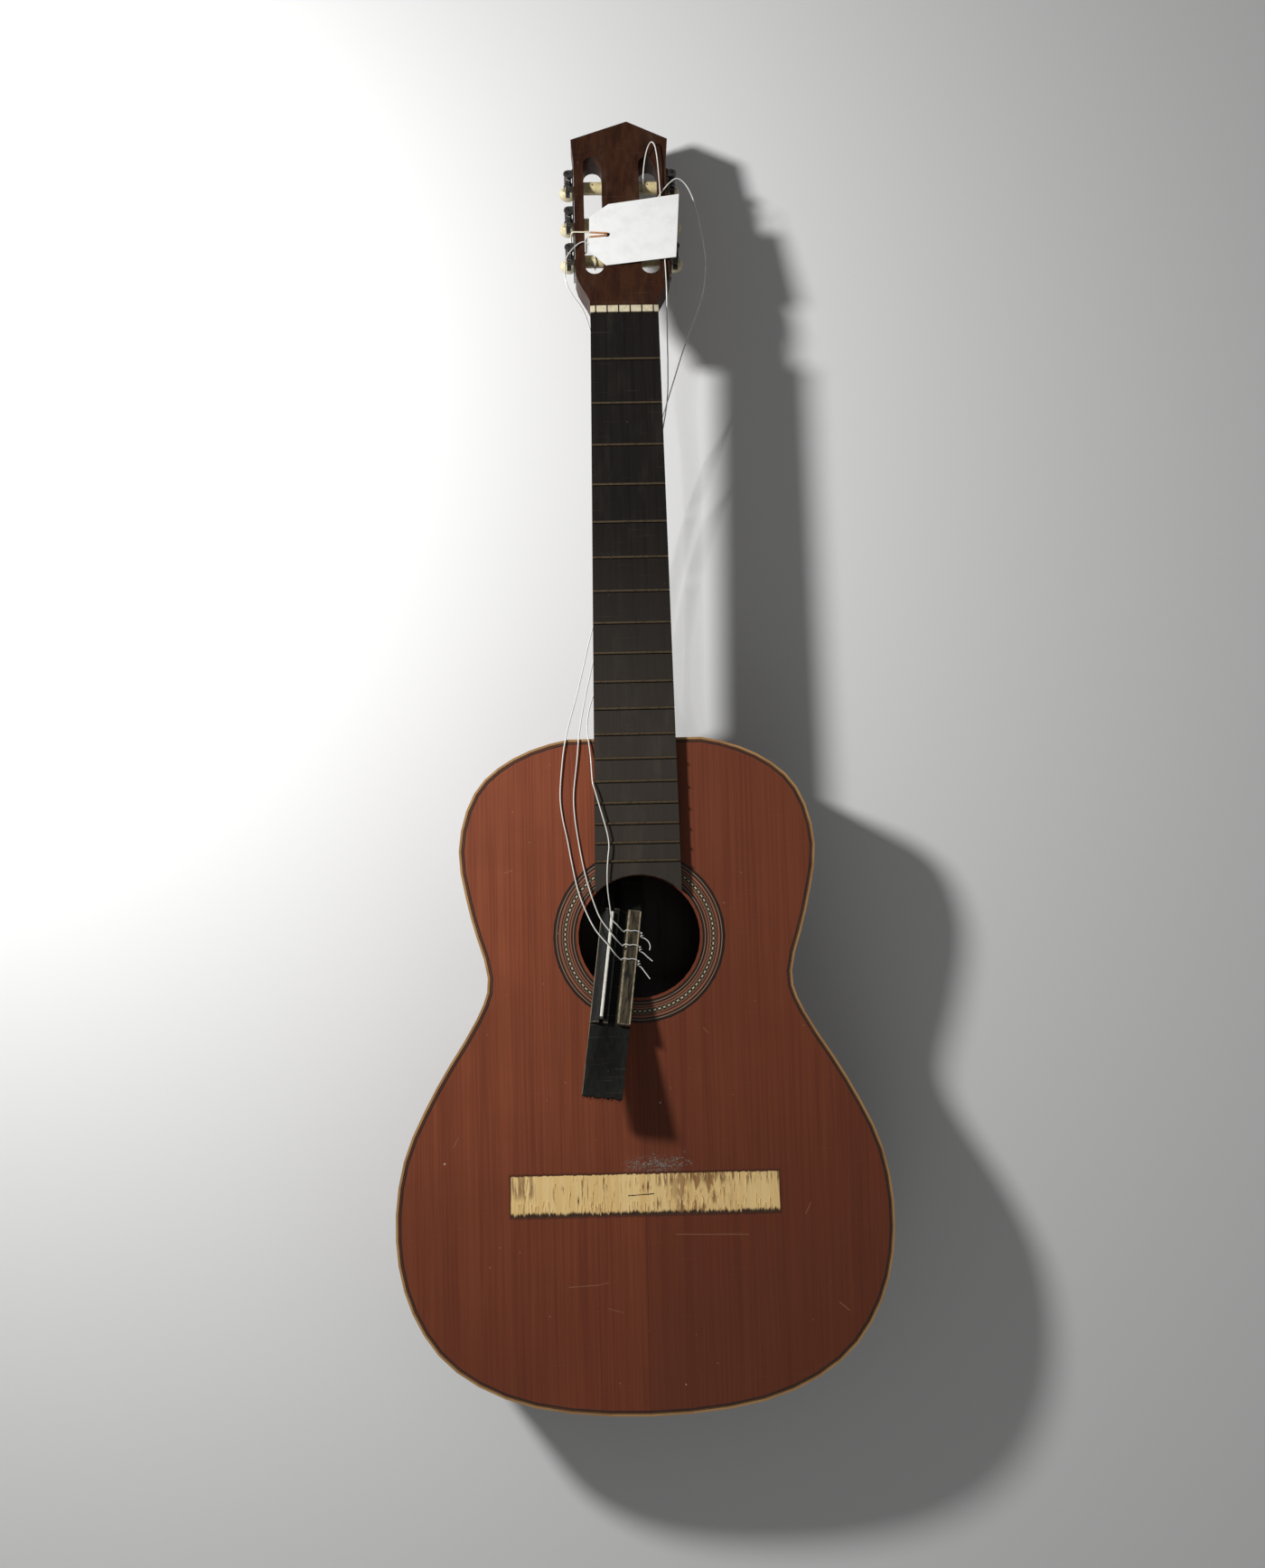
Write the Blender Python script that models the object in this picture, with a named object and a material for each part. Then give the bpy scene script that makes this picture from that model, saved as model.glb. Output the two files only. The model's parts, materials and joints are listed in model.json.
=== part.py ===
# Broken classical guitar lying on its back: the top's bridge has torn off and hangs by three strings
# in the sound hole. Metres, +Z out of the soundboard, +Y towards the head, +X to the treble side.
# The origin lies on the outside of the back, under the line where the saddle once stood.
import bpy
import bmesh
import math
from mathutils import Matrix, Vector

GAP = 0.0003                   # clearance between pieces that touch

# Scale and body
SCALE = 0.650                  # nut to saddle line
JOINT_PAST_12TH = 0.0025       # the body starts this far past the twelfth fret
BODY_LENGTH = 0.498
LOWER_BOUT = 0.368
WAIST = 0.2272
UPPER_BOUT = 0.2674
SHOULDER_FLAT = 0.100          # straight stretch across the neck joint
DEPTH = 0.095                  # back to soundboard, outside
TOP_THICK = 0.0026
BACK_THICK = 0.0027
SIDE_THICK = 0.0022
LINING_WIDTH = 0.0055
LINING_HEIGHT = 0.014
BINDING_WIDTH = 0.0022
BINDING_HEIGHT = 0.0055
# Half outline, top to tail: share of the body's length, the bout it follows, share of its half width
OUTLINE = ((0.027, UPPER_BOUT, 0.688), (0.079, UPPER_BOUT, 0.909), (0.166, UPPER_BOUT, 1.0),
           (0.266, UPPER_BOUT, 0.939), (0.356, WAIST, 1.0), (0.417, WAIST, 1.078),
           (0.517, LOWER_BOUT, 0.8315), (0.623, LOWER_BOUT, 0.965), (0.738, LOWER_BOUT, 1.0),
           (0.844, LOWER_BOUT, 0.9375), (0.929, LOWER_BOUT, 0.766), (0.983, LOWER_BOUT, 0.4565))
CURVE_STEPS = 3

# Soundboard
HOLE_RADIUS = 0.0456
HOLE_FROM_NUT = 0.4765
ROSETTE_INNER = 0.0480
ROSETTE_OUTER = 0.0640
ROSETTE_THICK = 0.0012
RING_SIDES = 36
BAR_WIDTH = 0.008
BAR_HEIGHT = 0.014
FAN_WIDTH = 0.006
FAN_HEIGHT = 0.005
FAN_SPREAD = 0.058
FAN_FROM = -0.125
FAN_TO = 0.095
TOP_BAR_REACH = 0.063          # cross bars this far above and below the hole's centre
BACK_BAR_PLACES = (0.235, 0.085, -0.075)
BAR_SINK = 0.0006              # how far a glued bar's mesh goes into its plate
TAIL_BLOCK = (0.064, 0.014)    # width and thickness

# Neck and head
NUT_WIDTH = 0.0522
TWELFTH_WIDTH = 0.0614
FINGERBOARD_THICK = 0.0065
NUT_THICK = 0.005
NUT_HEIGHT = 0.0085
STRING_COUNT = 6
NECK_THICK_NUT = 0.0165
NECK_THICK_HEEL = 0.0195
HEEL_LENGTH = 0.070
# Heel from its cap up: height, half width, share of the heel's length
HEEL_LEVELS = ((0.0, 0.0140, 0.24), (0.006, 0.0165, 0.27), (0.030, 0.0200, 0.34), (0.052, 0.0240, 0.50),
               (0.068, 0.0275, 0.74), (DEPTH - NECK_THICK_HEEL + 0.003, 0.0290, 1.0))
FOOT_WIDTH = 0.032
FOOT_LENGTH = 0.046
HEAD_ANGLE = math.radians(14.4)
HEAD_THICK = 0.020
HEAD_HALF = 0.0370             # half width where the tuners sit
HEAD_CORNER = (0.0389, 0.162)
HEAD_PEAK = (0.0065, 0.1795)
SLOT_CENTRE = 0.022
SLOT_WIDTH = 0.0145
SLOT_FROM = 0.033
SLOT_TO = 0.145

# Frets
FRET_COUNT = 18
FRET_WIDTH = 0.0021
FRET_HEIGHT = 0.0011
TANG_WIDTH = 0.0005
TANG_DEPTH = 0.0016

# Tuners, in the head's own frame: u across, s along from the nut, depth below its face
TUNER_FIRST = 0.0515
TUNER_STEP = 0.035
ROLLER_RADIUS = 0.005
ROLLER_DEPTH = 0.0095
SPINDLE_RADIUS = 0.002
PLATE_THICK = 0.001
PLATE_FROM = 0.036
PLATE_TO = 0.137
PLATE_TOP = 0.0015
PLATE_BOTTOM = 0.0185
GEAR_TEETH = 14
WORM_PITCH = 0.0028            # worm lead, and the gear's tooth pitch
GEAR_ADDENDUM = 0.0006
GEAR_DEDENDUM = 0.0011
WORM_ADDENDUM = 0.0008
GEAR_THICK = 0.0034
TOOTH_TIP = 0.10               # half widths of a tooth and of the thread, as shares of the pitch
TOOTH_ROOT = 0.26
THREAD_ROOT = 0.22
WORM_RADIUS = 0.0030
WORM_CORE = 0.0013
WORM_TURNS = 3
SHAFT_RADIUS = 0.0012
OCTAGON = 1 / math.cos(math.pi / 8)     # lets a bore of eight sides clear a round shaft
EAR_THICK = 0.0020
EAR_HALF = 0.0034
KNOB_LENGTH = 0.0125
KNOB_WIDE = 0.0150
KNOB_DEEP = 0.0115

# Bridge, in its own frame: length on X, saddle side +Y, glue face at Z = 0
BRIDGE_LENGTH = 0.197
BRIDGE_WIDTH = 0.030
BRIDGE_MIDDLE = 0.088
WING_THICK = 0.0042
BLOCK_HEIGHT = 0.0090
SADDLE_THICK = 0.0024
SADDLE_LENGTH = 0.081
SADDLE_RISE = 0.0028
STRING_SPACING = 0.011
TIE_HOLE = 0.0009
BRIDGE_CENTRE = (-0.0184, 0.150)
BRIDGE_TURN = math.radians(82.4)
BRIDGE_TILT = math.radians(19.0)
EDGE_SPARE = 0.0001            # spare room between the tipped bridge and the hole's edge

# Tag and cords
TAG_THICK = 0.0005
TAG_HOLE = 0.0022
STRING_DIAMETER = 0.0010
TAG_STRING_DIAMETER = 0.0012
CORD_STEPS = 6                 # fine points on a cord's curve for each point of its route
CORD_SLACK = 0.00028           # how far a cord's straight runs may cut its curve

# Derived places
NUT_Y = SCALE
BODY_TOP = SCALE / 2 - JOINT_PAST_12TH
BODY_TAIL = BODY_TOP - BODY_LENGTH
HOLE_Y = NUT_Y - HOLE_FROM_NUT
TOP_UNDER = DEPTH - TOP_THICK
BOARD_BOTTOM = DEPTH + GAP
BOARD_TOP = BOARD_BOTTOM + FINGERBOARD_THICK
HEAD_Y = NUT_Y + NUT_THICK + GAP
HEAD_FRAME = Matrix.Translation((0, HEAD_Y, DEPTH - 0.0005)) @ Matrix.Rotation(-HEAD_ANGLE, 4, "X")
GEAR_PITCH_RADIUS = GEAR_TEETH * WORM_PITCH / (2 * math.pi)
WORM_PITCH_RADIUS = WORM_RADIUS - WORM_ADDENDUM
WORM_OFFSET = GEAR_PITCH_RADIUS + WORM_PITCH_RADIUS
WORM_LENGTH = WORM_TURNS * WORM_PITCH
PLATE_IN = HEAD_HALF + GAP
PLATE_OUT = PLATE_IN + PLATE_THICK
WORM_AXIS_U = PLATE_OUT + WORM_RADIUS + 2 * GAP
SPINDLE_END = WORM_AXIS_U + GEAR_THICK / 2 + 0.0006

# Colours
ROSEWOOD = (0.06, 0.035, 0.025, 1)
TOP_BROWN = (0.24, 0.085, 0.035, 1)
NECK_BROWN = (0.075, 0.035, 0.022, 1)
BLACK_WOOD = (0.035, 0.028, 0.024, 1)
CREAM = (0.78, 0.70, 0.50, 1)
STEEL = (0.42, 0.41, 0.39, 1)


def clear_scene():
    for thing in list(bpy.data.objects):
        bpy.data.objects.remove(thing, do_unlink=True)


def material(name, colour, roughness, metallic=0.0):
    found = bpy.data.materials.get(name)
    if found:
        return found
    made = bpy.data.materials.new(name)
    made.use_nodes = True
    shader = made.node_tree.nodes["Principled BSDF"]
    shader.inputs["Base Color"].default_value = colour
    shader.inputs["Roughness"].default_value = roughness
    shader.inputs["Metallic"].default_value = metallic
    return made


def finish_mesh(name, bm, finish, smooth=None):
    bmesh.ops.recalc_face_normals(bm, faces=bm.faces)
    mesh = bpy.data.meshes.new(name)
    bm.to_mesh(mesh)
    bm.free()
    thing = bpy.data.objects.new(name, mesh)
    bpy.context.scene.collection.objects.link(thing)
    if finish:
        mesh.materials.append(finish)
    if smooth:
        mesh.shade_smooth()
        mesh.set_sharp_from_angle(angle=math.radians(smooth))
    return thing


def operand(name, bm):
    thing = finish_mesh(name, bm, None)
    thing.hide_render = True
    thing.display_type = "WIRE"
    return thing


def combine(thing, other, operation):
    step = thing.modifiers.new(other.name, "BOOLEAN")
    step.operation = operation
    step.solver = "EXACT"
    step.object = other


def add_prism(bm, points, low, high, frame=None):
    """Extrude a flat outline of (x, y) points from one height to another."""
    base = [bm.verts.new((x, y, low)) for x, y in points]
    face = bm.faces.new(base)
    grown = bmesh.ops.extrude_face_region(bm, geom=[face])["geom"]
    tops = [v for v in grown if isinstance(v, bmesh.types.BMVert)]
    bmesh.ops.translate(bm, verts=tops, vec=(0, 0, high - low))
    if frame:
        bmesh.ops.transform(bm, matrix=frame, verts=base + tops)


def add_box(bm, low, high, frame=None):
    corners = ((low[0], low[1]), (high[0], low[1]), (high[0], high[1]), (low[0], high[1]))
    add_prism(bm, corners, low[2], high[2], frame)


def add_rings(bm, rings):
    """Skin a run of equal closed rings of points and cap both ends."""
    loops = [[bm.verts.new(point) for point in ring] for ring in rings]
    count = len(loops[0])
    for lower, upper in zip(loops, loops[1:]):
        for i in range(count):
            j = (i + 1) % count
            bm.faces.new((lower[i], lower[j], upper[j], upper[i]))
    bm.faces.new(loops[0])
    bm.faces.new(loops[-1])


def add_turned(bm, profile, sides, axis="X"):
    """Turn (place along the axis, radius) pairs about X or Z."""
    rings = []
    for along, radius in profile:
        ring = []
        for k in range(sides):
            angle = 2 * math.pi * (k + 0.5) / sides
            a = radius * math.cos(angle)
            b = radius * math.sin(angle)
            ring.append((along, a, b) if axis == "X" else (a, b, along))
        rings.append(ring)
    add_rings(bm, rings)


def catmull(points, steps):
    """Points on a smooth curve through the given ones, the last one left out."""
    spread = []
    for i in range(1, len(points) - 2):
        a, b, c, d = (Vector(p) for p in points[i - 1:i + 3])
        for k in range(steps):
            t = k / steps
            curve = 2 * b + (c - a) * t + (2 * a - 5 * b + 4 * c - d) * t * t
            spread.append((curve + (3 * b - a - 3 * c + d) * t ** 3) / 2)
    return spread


def half_outline():
    """The treble half of the body's outline, from the shoulder flat's end to the tail."""
    start = (SHOULDER_FLAT / 2, BODY_TOP)
    middle = [(bout / 2 * share, BODY_TOP - BODY_LENGTH * down) for down, bout, share in OUTLINE]
    tail = (0, BODY_TAIL)
    mirrored = (-middle[-1][0], middle[-1][1])
    lead_in = (2 * start[0] - middle[0][0], BODY_TOP)
    return catmull([lead_in, start] + middle + [tail, mirrored], CURVE_STEPS)


def inward_normals(path, first, last):
    normals = [first]
    for before, after in zip(path, path[2:]):
        along = (after - before).normalized()
        normals.append(Vector((along.y, -along.x)))
    normals.append(last)
    return normals


def rib_path(start_x, end_x):
    return [Vector((start_x, BODY_TOP))] + half_outline() + [Vector((end_x, BODY_TAIL))]


def half_inset(inset, start_x=0.0, end_x=0.0):
    path = rib_path(start_x, end_x)
    normals = inward_normals(path, Vector((0, -1)), Vector((0, 1)))
    return [p + n * inset for p, n in zip(path, normals)]


def body_loop(inset):
    """The whole closed outline, moved inwards."""
    half = half_inset(inset)
    return [(p.x, p.y) for p in half] + [(-p.x, p.y) for p in reversed(half[1:-1])]


def half_width(y, inset):
    """Half of the body's width at a place along it."""
    half = half_inset(inset)
    for above, below in zip(half, half[1:]):
        if above.y >= y >= below.y:
            share = (above.y - y) / max(above.y - below.y, 1e-9)
            return above.x + (below.x - above.x) * share
    return 0.0


LINING_IN = BINDING_WIDTH + GAP + LINING_WIDTH


def add_bars(bm, places, width, low, high):
    """Cross bars that end just short of the linings."""
    for y in places:
        reach = min(half_width(y - width / 2, LINING_IN), half_width(y + width / 2, LINING_IN)) - 2 * GAP
        add_box(bm, (-reach, y - width / 2, low), (reach, y + width / 2, high))


def make_soundboard():
    finish = material("top_wood", TOP_BROWN, 0.45)
    bm = bmesh.new()
    add_prism(bm, body_loop(BINDING_WIDTH + GAP), TOP_UNDER, DEPTH)
    board = finish_mesh("soundboard", bm, finish)
    under = bmesh.new()
    hang = TOP_UNDER - BAR_HEIGHT
    add_bars(under, (HOLE_Y + TOP_BAR_REACH, HOLE_Y - TOP_BAR_REACH), BAR_WIDTH, hang, TOP_UNDER + BAR_SINK)
    for spot in (-FAN_SPREAD, 0, FAN_SPREAD):
        add_box(under, (spot - FAN_WIDTH / 2, FAN_FROM, TOP_UNDER - FAN_HEIGHT),
                (spot + FAN_WIDTH / 2, FAN_TO, TOP_UNDER + BAR_SINK))
    combine(board, operand("top_bars", under), "UNION")
    cut = bmesh.new()
    add_turned(cut, ((TOP_UNDER - 0.01, HOLE_RADIUS), (DEPTH + 0.01, HOLE_RADIUS)), RING_SIDES, "Z")
    bmesh.ops.translate(cut, verts=cut.verts, vec=(0, HOLE_Y, 0))
    combine(board, operand("hole_cutter", cut), "DIFFERENCE")
    channel = bmesh.new()
    add_ring(channel, ROSETTE_INNER - GAP, ROSETTE_OUTER + GAP, DEPTH - ROSETTE_THICK - GAP, DEPTH + 0.001)
    combine(board, operand("channel_cutter", channel), "DIFFERENCE")


def add_ring(bm, inner, outer, low, high):
    """A flat ring about the sound hole's axis."""
    section = ((inner, low), (outer, low), (outer, high), (inner, high))
    loops = []
    for k in range(RING_SIDES):
        angle = 2 * math.pi * k / RING_SIDES
        x = math.cos(angle)
        y = math.sin(angle)
        loops.append([bm.verts.new((r * x, HOLE_Y + r * y, z)) for r, z in section])
    for k in range(RING_SIDES):
        here = loops[k]
        there = loops[(k + 1) % RING_SIDES]
        for i in range(4):
            j = (i + 1) % 4
            bm.faces.new((here[i], here[j], there[j], there[i]))


def make_rosette():
    bm = bmesh.new()
    add_ring(bm, ROSETTE_INNER, ROSETTE_OUTER, DEPTH - ROSETTE_THICK, DEPTH)
    finish_mesh("rosette", bm, material("rosette_inlay", (0.16, 0.10, 0.06, 1), 0.5))


def make_back():
    bm = bmesh.new()
    add_prism(bm, body_loop(0), 0, BACK_THICK)
    back = finish_mesh("back", bm, material("back_wood", ROSEWOOD, 0.4))
    bars = bmesh.new()
    add_bars(bars, BACK_BAR_PLACES, BAR_WIDTH, BACK_THICK - BAR_SINK, BACK_THICK + BAR_HEIGHT)
    combine(back, operand("back_bars", bars), "UNION")


def make_side(name, sign):
    """One bent rib with its two glued linings; the bass rib also carries the tail block."""
    low = BACK_THICK + GAP
    ledge = DEPTH - BINDING_HEIGHT - GAP
    high = TOP_UNDER - GAP
    inner = BINDING_WIDTH + GAP
    lining = LINING_IN
    slope = 0.004
    profile = ((0, low), (0, ledge), (inner, ledge), (inner, high), (lining, high),
               (lining, high - LINING_HEIGHT), (SIDE_THICK, high - LINING_HEIGHT - slope),
               (SIDE_THICK, low + LINING_HEIGHT + slope), (lining, low + LINING_HEIGHT), (lining, low))
    path = rib_path(FOOT_WIDTH / 2 + GAP, GAP / 2)
    normals = inward_normals(path, Vector((0, -1)), Vector((0, 1)))
    rings = [[(sign * (p.x + n.x * d), p.y + n.y * d, z) for d, z in profile]
             for p, n in zip(path, normals)]
    bm = bmesh.new()
    add_rings(bm, rings)
    side = finish_mesh(name, bm, material("side_wood", ROSEWOOD, 0.4))
    if sign < 0:
        block = bmesh.new()
        width, thick = TAIL_BLOCK
        near = BODY_TAIL + lining - 0.002
        add_box(block, (-width / 2, near, low + LINING_HEIGHT / 2), (-GAP, near + thick, high - GAP))
        combine(side, operand("tail_block", block), "UNION")


def make_binding():
    low = DEPTH - BINDING_HEIGHT
    half = half_inset(0)
    inner = half_inset(BINDING_WIDTH)
    outer_loop = [(p.x, p.y) for p in half] + [(-p.x, p.y) for p in reversed(half[1:-1])]
    inner_loop = [(p.x, p.y) for p in inner] + [(-p.x, p.y) for p in reversed(inner[1:-1])]
    bm = bmesh.new()
    loops = []
    for (ox, oy), (ix, iy) in zip(outer_loop, inner_loop):
        corners = ((ox, oy, low), (ox, oy, DEPTH), (ix, iy, DEPTH), (ix, iy, low))
        loops.append([bm.verts.new(corner) for corner in corners])
    for k, here in enumerate(loops):
        there = loops[(k + 1) % len(loops)]
        for i in range(4):
            j = (i + 1) % 4
            bm.faces.new((here[i], here[j], there[j], there[i]))
    finish_mesh("top_binding", bm, material("binding", (0.62, 0.45, 0.24, 1), 0.4))


def board_half_width(y):
    """Half the fingerboard's width, which grows evenly from the nut."""
    down = (NUT_Y - y) / (SCALE / 2)
    return (NUT_WIDTH + (TWELFTH_WIDTH - NUT_WIDTH) * down) / 2


def fret_place(number):
    return NUT_Y - SCALE * (1 - 2 ** (-number / 12))


def neck_section(y, thick, half):
    """A rounded neck section, flat on top at the soundboard's level."""
    ring = [(-half, y, DEPTH), (-half, y, DEPTH - 0.003)]
    for k in range(1, 8):
        angle = math.pi * k / 8
        ring.append((-half * math.cos(angle) * 0.985, y, DEPTH - 0.003 - (thick - 0.003) * math.sin(angle)))
    return ring + [(half, y, DEPTH - 0.003), (half, y, DEPTH)]


def head_outline():
    """Half of the head, from its root to the corner of the crest."""
    return [(NUT_WIDTH / 2, -GAP), (NUT_WIDTH / 2 + 0.0002, 0.008), (0.0285, 0.0135), (0.0322, 0.0205),
            (0.0352, 0.0270), (HEAD_HALF, PLATE_FROM - 0.002), (HEAD_HALF, PLATE_TO + 0.003), HEAD_CORNER]


def slot_outline(sign):
    """A slot with round ends, in the head's frame."""
    r = SLOT_WIDTH / 2
    ring = []
    for end, turn in ((SLOT_TO - r, 0), (SLOT_FROM + r, math.pi)):
        for k in range(9):
            angle = turn + math.pi * k / 8
            ring.append((sign * SLOT_CENTRE + r * math.cos(angle), end + r * math.sin(angle)))
    return ring


def tuner_places():
    """Number, side and place along the head of each tuner."""
    for number in range(1, 7):
        sign = -1 if number <= 3 else 1
        yield number, sign, TUNER_FIRST + TUNER_STEP * ((number - 1) % 3)


def make_neck():
    start = BODY_TOP + GAP
    end = NUT_Y + NUT_THICK + 2 * GAP
    rings = []
    for share in (0, 0.25, 0.5, 0.75, 1):
        y = start + (end - start) * share
        thick = NECK_THICK_HEEL + (NECK_THICK_NUT - NECK_THICK_HEEL) * share
        rings.append(neck_section(y, thick, min(board_half_width(y), TWELFTH_WIDTH / 2)))
    bm = bmesh.new()
    add_rings(bm, rings)
    neck = finish_mesh("neck", bm, material("neck_wood", NECK_BROWN, 0.4))

    heel = bmesh.new()
    rings = []
    for z, half, share in HEEL_LEVELS:
        ring = []
        for k in range(11):
            angle = math.pi * k / 10
            ring.append((half * math.cos(angle), start + HEEL_LENGTH * share * math.sin(angle), z))
        rings.append(ring)
    add_rings(heel, rings)
    combine(neck, operand("heel", heel), "UNION")

    foot = bmesh.new()
    inner = BODY_TOP - FOOT_LENGTH
    step = BODY_TOP - BINDING_WIDTH - GAP
    outer = BODY_TOP + 0.006
    low = BACK_THICK + GAP
    ledge = DEPTH - BINDING_HEIGHT - GAP
    high = TOP_UNDER - GAP
    profile = ((inner, low), (outer, low), (outer, ledge), (step, ledge), (step, high), (inner, high))
    add_rings(foot, [[(x, y, z) for y, z in profile] for x in (-FOOT_WIDTH / 2, FOOT_WIDTH / 2)])
    combine(neck, operand("foot", foot), "UNION")

    head = bmesh.new()
    half = head_outline()
    ring = half + [HEAD_PEAK] + [(-u, s) for u, s in reversed(half)]
    add_prism(head, ring, -HEAD_THICK, 0, HEAD_FRAME)
    combine(neck, operand("head", head), "UNION")

    slots = bmesh.new()
    for sign in (-1, 1):
        add_prism(slots, slot_outline(sign), -HEAD_THICK - 0.01, 0.01, HEAD_FRAME)
    combine(neck, operand("slot_cutter", slots), "DIFFERENCE")

    bores = bmesh.new()
    inner = SLOT_CENTRE - SLOT_WIDTH / 2 - 0.006
    for number, sign, s in tuner_places():
        one = bmesh.new()
        radius = ROLLER_RADIUS + GAP
        add_turned(one, ((sign * inner, radius), (sign * (HEAD_HALF + 0.01), radius)), 12)
        place = HEAD_FRAME @ Matrix.Translation((0, s, -ROLLER_DEPTH))
        bmesh.ops.transform(one, matrix=place, verts=one.verts)
        scratch = bpy.data.meshes.new("bore")
        one.to_mesh(scratch)
        one.free()
        bores.from_mesh(scratch)
        bpy.data.meshes.remove(scratch)
    combine(neck, operand("roller_bores", bores), "DIFFERENCE")


def make_fingerboard():
    """A board with a sawn slot under each fret, ended by an arc that follows the sound hole."""
    tail = HOLE_Y + HOLE_RADIUS * 0.55
    slot = TANG_WIDTH / 2 + GAP
    profile = [(NUT_Y - GAP, BOARD_BOTTOM), (NUT_Y - GAP, BOARD_TOP)]
    for number in range(1, FRET_COUNT + 1):
        y = fret_place(number)
        floor = BOARD_TOP - TANG_DEPTH - GAP
        profile += [(y + slot, BOARD_TOP), (y + slot, floor), (y - slot, floor), (y - slot, BOARD_TOP)]
    profile += [(tail, BOARD_TOP), (tail, BOARD_BOTTOM)]
    bm = bmesh.new()
    add_rings(bm, [[(sign * board_half_width(y), y, z) for y, z in profile] for sign in (-1, 1)])
    board = finish_mesh("fingerboard", bm, material("fingerboard_wood", BLACK_WOOD, 0.5))
    cut = bmesh.new()
    radius = HOLE_RADIUS + 2 * GAP
    add_turned(cut, ((DEPTH - 0.01, radius), (BOARD_TOP + 0.01, radius)), RING_SIDES, "Z")
    bmesh.ops.translate(cut, verts=cut.verts, vec=(0, HOLE_Y, 0))
    combine(board, operand("board_end_cutter", cut), "DIFFERENCE")


def make_frets():
    finish = material("fret_metal", (0.50, 0.47, 0.38, 1), 0.35, 1.0)
    w = FRET_WIDTH / 2
    t = TANG_WIDTH / 2
    low = BOARD_TOP + GAP
    for number in range(1, FRET_COUNT + 1):
        y = fret_place(number)
        section = ((-t, BOARD_TOP - TANG_DEPTH), (t, BOARD_TOP - TANG_DEPTH), (t, low), (w, low),
                   (0.7 * w, low + 0.7 * FRET_HEIGHT), (0, low + FRET_HEIGHT),
                   (-0.7 * w, low + 0.7 * FRET_HEIGHT), (-w, low), (-t, low))
        bm = bmesh.new()
        half = board_half_width(y) - 0.0002
        add_rings(bm, [[(x, y + dy, z) for dy, z in section] for x in (-half, half)])
        finish_mesh("fret_%02d" % number, bm, finish)


def make_nut():
    half = NUT_WIDTH / 2
    high = NUT_HEIGHT
    notch = 0.0005
    points = [(-half, 0), (-half, high - 0.0006)]
    pitch = (NUT_WIDTH - 0.008) / (STRING_COUNT - 1)
    for k in range(STRING_COUNT):
        x = pitch * (k - (STRING_COUNT - 1) / 2)
        floor = high - 0.0011
        points += [(x - notch, high), (x - notch, floor), (x + notch, floor), (x + notch, high)]
    points += [(half, high - 0.0006), (half, 0)]
    bm = bmesh.new()
    y = NUT_Y
    rings = [[(x, place, BOARD_BOTTOM + z) for x, z in points] for place in (y, y + NUT_THICK)]
    add_rings(bm, rings)
    finish_mesh("nut", bm, material("bone", (0.72, 0.66, 0.50, 1), 0.4))


def bridge_frame():
    """Where the torn bridge lies: tipped over the hole's lower rim, its glue face a gap above the edge."""
    turn = Matrix.Rotation(BRIDGE_TURN, 4, "Z") @ Matrix.Rotation(BRIDGE_TILT, 4, "Y")
    across = Matrix.Rotation(BRIDGE_TURN, 3, "Z") @ Vector((0, 1, 0))
    along = Matrix.Rotation(BRIDGE_TURN, 3, "Z") @ Vector((1, 0, 0))
    edge = Vector((BRIDGE_CENTRE[0], BRIDGE_CENTRE[1] - HOLE_Y, 0)) + across * (BRIDGE_WIDTH / 2)
    slide = -edge.dot(along) - math.sqrt(edge.dot(along) ** 2 - edge.length_squared + HOLE_RADIUS ** 2)
    lift = DEPTH + GAP / math.cos(BRIDGE_TILT) + slide * math.tan(BRIDGE_TILT)
    return Matrix.Translation((BRIDGE_CENTRE[0], BRIDGE_CENTRE[1], lift + EDGE_SPARE)) @ turn


SADDLE_PLACE = 0.0067
TIE_BACK = -BRIDGE_WIDTH / 2
TIE_FRONT = -0.005
CHANNEL_FLOOR = 0.0034
SADDLE_FLOOR = 0.0030
TIE_LEVEL = 0.0050
RAMP_START = 0.0115
SPLINTERS = (0.0012, 0.0002, 0.0014, 0, 0.0011, 0.0004, 0.0015, 0.0003, 0.0010)


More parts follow.
